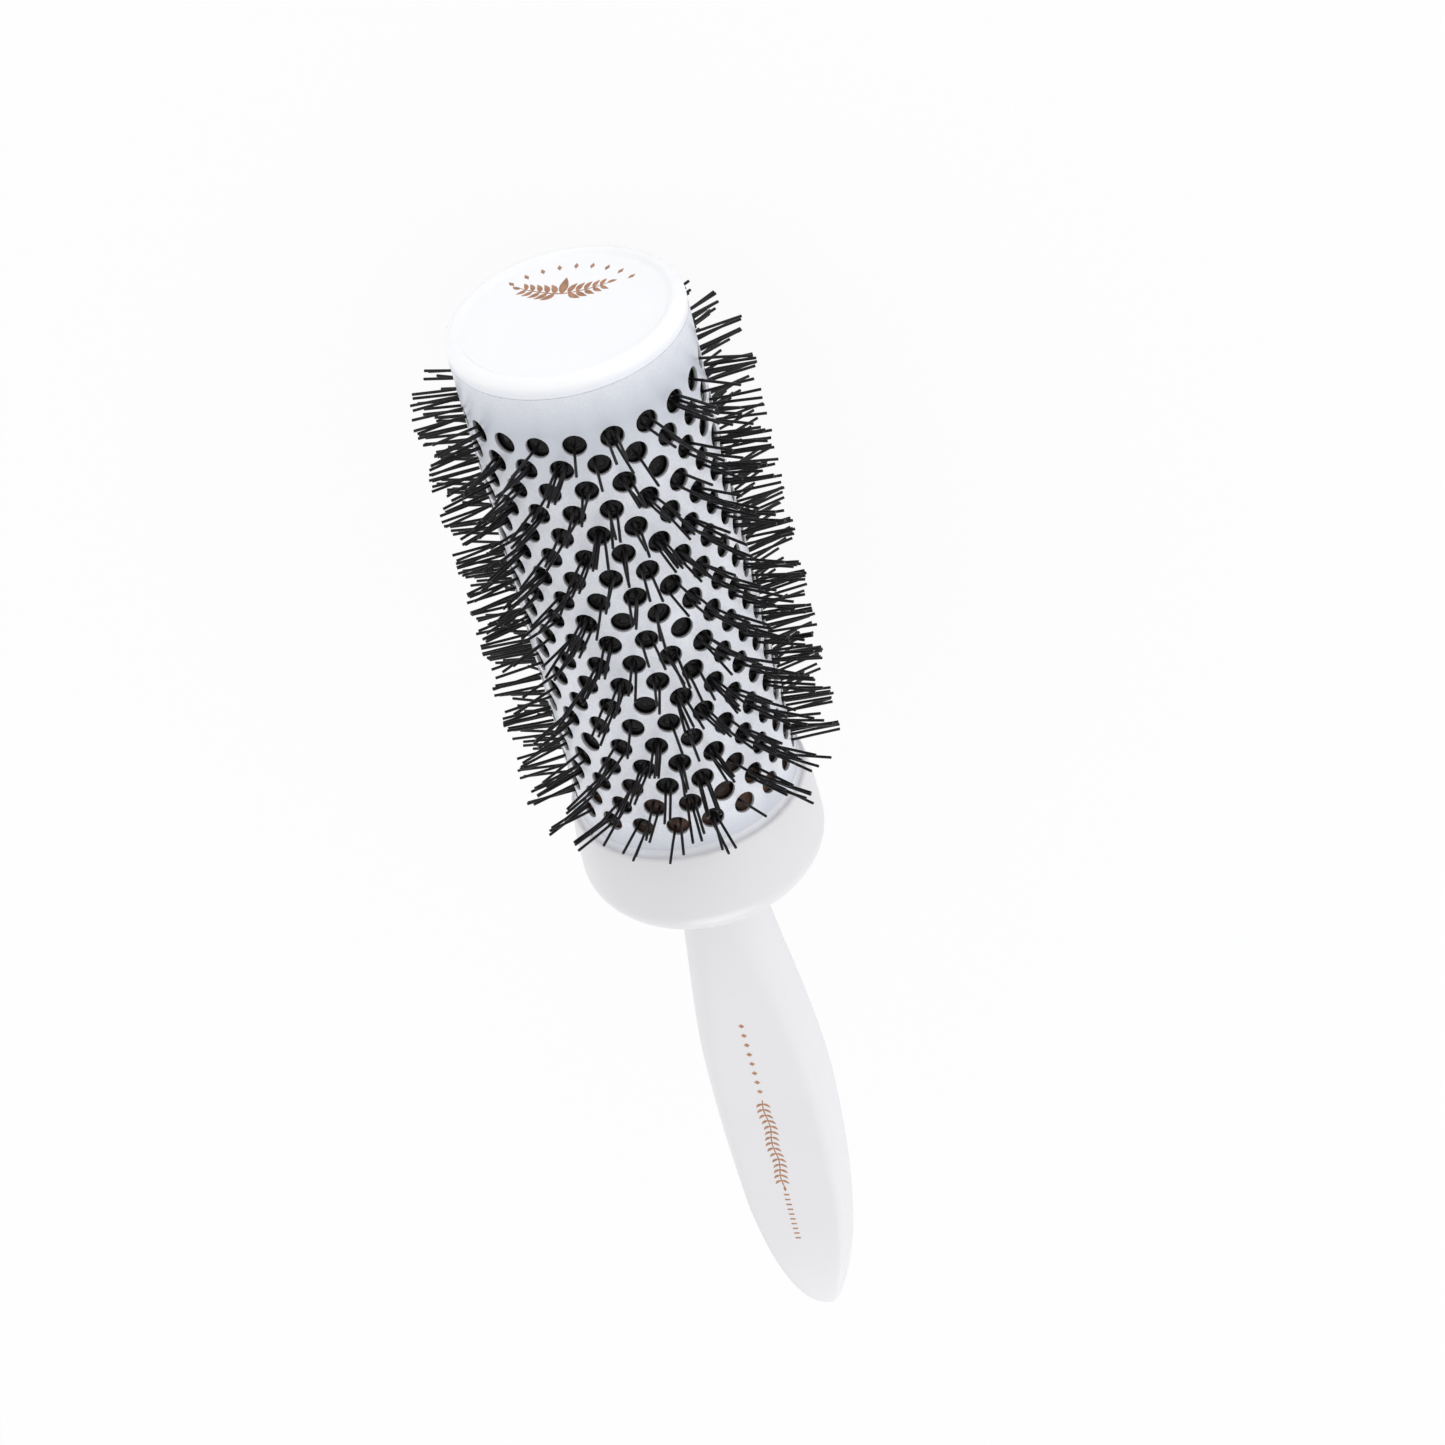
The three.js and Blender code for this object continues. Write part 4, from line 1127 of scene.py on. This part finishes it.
def handle_surface(sizes):
    """Puts drawn points [from the neck, y] on the handle's face."""
    neck_x, handle_length = handle_line(sizes)

    def place(points, lift):
        along = points[:, 0] / handle_length
        width, crown, face, _, middle = handle_form(sizes, along)
        height = face_height(sizes, crown, face, points[:, 1] / width)
        return np.stack([neck_x - points[:, 0], points[:, 1], middle + height + lift], -1)
    return place


def cap_ornament():
    """Strips of the cap's ornament: an arc of small lozenges over a spray of leaves."""
    strips = []
    for turn in np.radians(np.linspace(-44, 44, 9)):
        outward_turn = np.array([math.sin(turn), -math.cos(turn)])
        middle = np.array(CAP_ARC_MIDDLE) * MM + CAP_ARC_RADIUS * MM * outward_turn
        radial = middle / np.linalg.norm(middle)
        line = middle + radial * (0.85 * MM * LOZENGE)[:, None]
        strips.append((line, 0.42 * MM * (1 - np.abs(LOZENGE)) + 0.02 * MM))
    centre = np.array(CAP_SPRAY_CENTRE) * MM
    for side in (-1, 1):
        part = np.linspace(0, 1, 15)
        stem = centre + np.stack([side * 8.2 * MM * part, 2.6 * MM * (0.5 - part ** 1.6 * 0.9)], -1)
        strips.append((stem, 0.16 * MM * (1 - 0.5 * part)))
        for place in (0.16, 0.34, 0.52, 0.7, 0.86):
            foot = point_on(stem, part, place)
            long = (3.3 - 1.3 * place) * MM
            for tilt in (0.95, -0.85):
                heading = math.atan2(-0.35, side) + side * tilt
                strips.append(leaf(foot, heading, long, 1.15 * MM * (1.1 - 0.4 * place), 0.1 * side * tilt))
        strips.append(leaf(stem[-1], math.atan2(-0.45, side), 1.9 * MM, 0.8 * MM))
    strips.append(leaf(centre + np.array([0, 1.4 * MM]), -math.pi / 2, 5.2 * MM, 1.7 * MM, 0))
    return strips


def handle_ornament():
    """Strips of the handle's ornament, in three runs: small lozenges, a leafy stem and short bars."""
    strips = []
    aside = RUN_ASIDE * MM
    for place in np.linspace(*LOZENGE_RUN, 8) * MM:
        line = np.stack([place + 0.6 * MM * LOZENGE, aside + 0 * LOZENGE], -1)
        strips.append((line, 0.62 * MM * (1 - np.abs(LOZENGE)) + 0.02 * MM))
    start, end = (value * MM for value in STEM_RUN)
    part = np.linspace(0, 1, 40)
    wave = 0.28 * MM * np.sin(part * 5 * math.pi)
    stem = np.stack([start + (end - start) * part, aside + wave], -1)
    strips.append((stem, 0.13 * MM))
    for place in np.linspace(0.04, 0.93, 15):
        for side in (-1, 1):
            foot = point_on(stem, part, place)
            strips.append(leaf(foot, side * 0.95, 1.9 * MM, 0.62 * MM, 0.12 * side))
    strips.append(leaf(stem[-1], 0.0, 1.6 * MM, 0.6 * MM, 0))
    for place in np.linspace(*BAR_RUN, 10) * MM:
        line = np.stack([np.full(4, place), np.linspace(aside - 0.55 * MM, aside + 0.55 * MM, 4)], -1)
        strips.append((line, 0.22 * MM))
    return strips


def foil_skin(strips, sizes, to_surface):
    skin = Skin()
    for line, half_width in strips:
        points, sets = ribbon(line, half_width, sizes.foil_thickness, to_surface)
        skin.add(points, match_outward(points - points.mean(0), sets))
    return skin


# Operators, one for each piece or group of like pieces


class MakeEndCap(bpy.types.Operator):
    """Turn the white end cap with its hollow face and rounded rim"""

    bl_idname = "round_brush.make_end_cap"
    bl_label = "End Cap"

    def execute(self, context):
        sizes, colours = context.scene.brush_sizes, context.scene.brush_colours
        mesh = turned_piece(end_cap_profile(sizes)).mesh("end_cap_skin", EDGE_ANGLE)
        place_piece("end_cap_skin", mesh, [cap_finish(colours, sizes)], "cap_white", "end_cap")
        return {"FINISHED"}


class MakeBarrel(bpy.types.Operator):
    """Build the perforated barrel with its pearl coat"""

    bl_idname = "round_brush.make_barrel"
    bl_label = "Barrel"

    def execute(self, context):
        sizes, colours = context.scene.brush_sizes, context.scene.brush_colours
        points, normals, faces = perforated_tube(sizes)
        mesh = bpy.data.meshes.new("barrel_skin")
        mesh.from_pydata(points.tolist(), [], outward(points, faces).tolist())
        mesh.shade_smooth()
        mesh.normals_split_custom_set_from_vertices(normals.tolist())
        mesh.update()
        place_piece("barrel_skin", mesh, [pearl_finish(colours, sizes)], "pearl_coat", "barrel_sleeve")
        return {"FINISHED"}


class MakeBristleBeds(bpy.types.Operator):
    """Build the four beds with their knots and tufts of bristles"""

    bl_idname = "round_brush.make_bristle_beds"
    bl_label = "Bristle Beds"

    def execute(self, context):
        sizes, colours = context.scene.brush_sizes, context.scene.brush_colours
        centre_x, centre_turn = (values.ravel() for values in hole_centres(sizes))
        bed_step = 2 * math.pi / len(BED_SIDES)
        half_facet = math.pi / (2 * sizes.holes_per_row)
        finishes = [bed_finish(colours, sizes), bristle_finish(colours)]
        for number, side in enumerate(BED_SIDES):
            middle = number * bed_step - half_facet
            away = (centre_turn - middle + math.pi) % (2 * math.pi) - math.pi
            mine = np.abs(away) < bed_step / 2
            rng = np.random.default_rng(TUFT_SEED + number)
            skin = Skin()
            shell, shell_faces = bed_shell(sizes, middle, bed_step / 2)
            skin.add(shell, [shell_faces])
            skin.add(*knots(sizes, centre_x[mine], centre_turn[mine]))
            points, sets = strands(sizes, centre_x[mine], centre_turn[mine], rng)
            skin.add(points, sets, 1)
            name = "bristles_" + side
            mesh = skin.mesh(name, math.radians(65))
            place_piece(name, mesh, finishes, "bristle_black", "bristle_bed_" + side)
        return {"FINISHED"}


class MakeSeamRing(bpy.types.Operator):
    """Turn the thin ring between the barrel and the collar"""

    bl_idname = "round_brush.make_seam_ring"
    bl_label = "Seam Ring"

    def execute(self, context):
        sizes, colours = context.scene.brush_sizes, context.scene.brush_colours
        mesh = turned_piece(ring_profile(sizes)).mesh("seam_ring", EDGE_ANGLE)
        finish = moulded_finish("seam_plastic", colours.seam, 0.36, 2600.0, 0.01 * MM)
        place_piece("seam_ring", mesh, [finish], "seam_grey", "barrel_ring")
        return {"FINISHED"}


class MakeCollar(bpy.types.Operator):
    """Turn the cup-shaped collar"""

    bl_idname = "round_brush.make_collar"
    bl_label = "Collar"

    def execute(self, context):
        sizes, colours = context.scene.brush_sizes, context.scene.brush_colours
        mesh = turned_piece(collar_profile(sizes)).mesh("collar_skin", EDGE_ANGLE)
        finish = moulded_finish("collar_white", colours.collar, 0.3, 2400.0, 0.008 * MM, 0.97)
        place_piece("collar_skin", mesh, [finish], "collar_white", "collar")
        return {"FINISHED"}


class MakeHandle(bpy.types.Operator):
    """Loft the leaf-shaped handle"""

    bl_idname = "round_brush.make_handle"
    bl_label = "Handle"

    def execute(self, context):
        sizes, colours = context.scene.brush_sizes, context.scene.brush_colours
        mesh = handle_skin(sizes).mesh("handle_skin", math.radians(50))
        finish = moulded_finish("handle_white", colours.handle, 0.44, 1800.0, 0.012 * MM, 0.97)
        place_piece("handle_skin", mesh, [finish], "handle_white", "handle")
        return {"FINISHED"}


class MakeFoil(bpy.types.Operator):
    """Stamp the rose-gold ornament on the cap and the handle"""

    bl_idname = "round_brush.make_foil"
    bl_label = "Foil Ornament"

    def execute(self, context):
        sizes, colours = context.scene.brush_sizes, context.scene.brush_colours
        finish = foil_finish(colours)
        for name, strips, to_surface, slot in (
            ("cap_foil", cap_ornament(), cap_surface(sizes), "cap_white"),
            ("handle_foil", handle_ornament(), handle_surface(sizes), "handle_white"),
        ):
            mesh = foil_skin(strips, sizes, to_surface).mesh(name, EDGE_ANGLE)
            place_piece(name, mesh, [finish], slot)
        return {"FINISHED"}


class FinishInnerPieces(bpy.types.Operator):
    """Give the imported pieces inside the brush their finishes"""

    bl_idname = "round_brush.finish_inner_pieces"
    bl_label = "Inner Pieces"

    def execute(self, context):
        colours = context.scene.brush_colours
        black = moulded_finish("core_black", colours.bed, 0.3, 2200.0, 0.01 * MM, 0.8)
        brown = moulded_finish("plug_brown", colours.plug, 0.5, 2200.0, 0.015 * MM, 0.8)
        steel = metal_finish("spine_steel", colours.steel, 0.28, 9000.0)
        brass = metal_finish("insert_brass", colours.brass, 0.3, 9000.0)
        for finish, nodes in (
            (black, ("top_plug", "core_frame")),
            (brown, ("base_plug",)),
            (steel, ("spine_rod", "spine_washer", "spine_nut")),
            (brass, ("handle_insert",)),
        ):
            for node in nodes:
                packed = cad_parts[node]
                packed.data.materials.clear()
                packed.data.materials.append(finish)
        return {"FINISHED"}


class SetStage(bpy.types.Operator):
    """Set the pale floor, the soft studio light and the camera"""

    bl_idname = "round_brush.set_stage"
    bl_label = "Stage"

    def execute(self, context):
        scene = context.scene
        self.make_floor(scene)
        self.make_world(scene)
        self.make_lamp(scene, "right_lamp", RIGHT_LAMP_PLACE, scene.brush_light.right)
        self.make_lamp(scene, "back_lamp", BACK_LAMP_PLACE, scene.brush_light.back)
        self.make_camera(scene)
        scene.view_settings.view_transform = "Standard"
        return {"FINISHED"}

    def make_floor(self, scene):
        """A flat square that shows mostly as plain white and still keeps the object's shadow."""
        count = 41
        line = np.linspace(-FLOOR_REACH, FLOOR_REACH, count)
        x, y = np.meshgrid(line, line, indexing="ij")
        points = np.stack([x, y, 0 * x], -1).reshape(-1, 3)
        mesh = bpy.data.meshes.new("studio_floor")
        mesh.from_pydata(points.tolist(), [], grid_faces(count, count).tolist())
        floor = bpy.data.objects.new("studio_floor", mesh)
        scene.collection.objects.link(floor)
        material, tree, shader, place = new_finish("studio_paper", 0.9)
        tone = opaque(scene.brush_colours.floor)
        cloud = mixed(tree, noise(tree, place, 6.0), tone, opaque(scene.brush_colours.floor, 0.98))
        set_inputs(tree, shader, Base_Color=cloud)
        white = add_node(tree, "ShaderNodeEmission", Strength=1.0)
        rays = tree.nodes.new("ShaderNodeLightPath").outputs
        seen = worked_out(tree, "MAXIMUM", rays["Is Camera Ray"], rays["Is Glossy Ray"])
        seen = worked_out(tree, "MAXIMUM", seen, rays["Is Transmission Ray"])
        level = worked_out(tree, "MULTIPLY", seen, scene.brush_light.floor_white)
        blend = add_node(
            tree, "ShaderNodeMixShader", _0=level, _1=shader.outputs["BSDF"], _2=white.outputs["Emission"],
        )
        output = next(node for node in tree.nodes if node.type == "OUTPUT_MATERIAL")
        set_inputs(tree, output, Surface=blend.outputs["Shader"])
        mesh.materials.append(material)

    def make_world(self, scene):
        """Light from all round that fades from the floor to straight above.

        Reflections and the camera see it as plain white.
        """
        world = bpy.data.worlds.new("studio_world")
        world.use_nodes = True
        tree = world.node_tree
        tree.nodes.clear()
        rays = tree.nodes.new("ShaderNodeLightPath").outputs
        seen = worked_out(tree, "MAXIMUM", rays["Is Camera Ray"], rays["Is Glossy Ray"])
        direction = tree.nodes.new("ShaderNodeTexCoord").outputs["Generated"]
        height = add_node(tree, "ShaderNodeSeparateXYZ", Vector=direction).outputs["Z"]
        light = scene.brush_light
        level = spread(tree, height, 0.0, 1.0, light.horizon, light.zenith)
        lit = add_node(tree, "ShaderNodeBackground", Color=SKY_WHITE, Strength=level)
        plain = add_node(tree, "ShaderNodeBackground", Color=PLAIN_WHITE, Strength=1.0)
        blend = add_node(
            tree, "ShaderNodeMixShader", _0=seen, _1=lit.outputs["Background"],
            _2=plain.outputs["Background"],
        )
        add_node(tree, "ShaderNodeOutputWorld", Surface=blend.outputs["Shader"])
        scene.world = world

    def make_lamp(self, scene, name, place, power):
        """A large square lamp that looks at the middle of the brush."""
        lamp = bpy.data.lights.new(name, "AREA")
        lamp.size = LAMP_SIZE
        lamp.energy = power
        away = np.array(place) - np.array([0, 0, AXIS_Z])
        back = away / np.linalg.norm(away)
        right = np.cross([0, 0, 1], back)
        right /= np.linalg.norm(right)
        self.put(scene, name, lamp, place, right, np.cross(back, right), back)

    def put(self, scene, name, data, place, right, up, back):
        """Puts a lamp or a camera at a place, with its own X, Y and Z turned to three directions."""
        holder = bpy.data.objects.new(name, data)
        turn = Matrix(np.stack([right, up, back], -1).tolist()).to_4x4()
        holder.matrix_world = Matrix.Translation(place) @ turn
        scene.collection.objects.link(holder)
        return holder

    def make_camera(self, scene):
        """The photograph's viewpoint, measured from the first row of holes on the barrel's axis."""
        camera = bpy.data.cameras.new("photo_camera")
        camera.lens = CAMERA_LENS
        camera.sensor_width = CAMERA_SENSOR
        camera.clip_end = CAMERA_CLIP_END
        place = CAMERA_PLACE + np.array([first_row_x(scene.brush_sizes), 0, AXIS_Z])
        scene.camera = self.put(
            scene, "photo_camera", camera, place, CAMERA_RIGHT, CAMERA_UP, CAMERA_BACK,
        )


PIECE_OPERATORS = (
    MakeEndCap, MakeBarrel, MakeBristleBeds, MakeSeamRing,
    MakeCollar, MakeHandle, MakeFoil, FinishInnerPieces,
)


class RoundBrushPanel(bpy.types.Panel):
    """Lists the brush's pieces and its stage"""

    bl_idname = "VIEW3D_PT_round_brush"
    bl_label = "Round Brush"
    bl_space_type = "VIEW_3D"
    bl_region_type = "UI"
    bl_category = "Round Brush"

    def draw(self, context):
        column = self.layout.column()
        for operator in (*PIECE_OPERATORS, SetStage):
            column.operator(operator.bl_idname)


CLASSES = (BrushSizes, BrushColours, BrushLight, *PIECE_OPERATORS, SetStage, RoundBrushPanel)


def register():
    for cls in CLASSES:
        bpy.utils.register_class(cls)
    bpy.types.Scene.brush_sizes = PointerProperty(type=BrushSizes)
    bpy.types.Scene.brush_colours = PointerProperty(type=BrushColours)
    bpy.types.Scene.brush_light = PointerProperty(type=BrushLight)


def unregister():
    del bpy.types.Scene.brush_light
    del bpy.types.Scene.brush_colours
    del bpy.types.Scene.brush_sizes
    for cls in reversed(CLASSES):
        bpy.utils.unregister_class(cls)


def main():
    register()
    bpy.ops.round_brush.make_end_cap()
    bpy.ops.round_brush.make_barrel()
    bpy.ops.round_brush.make_bristle_beds()
    bpy.ops.round_brush.make_seam_ring()
    bpy.ops.round_brush.make_collar()
    bpy.ops.round_brush.make_handle()
    bpy.ops.round_brush.make_foil()
    bpy.ops.round_brush.finish_inner_pieces()
    bpy.ops.round_brush.set_stage()


if __name__ == "__main__":
    main()
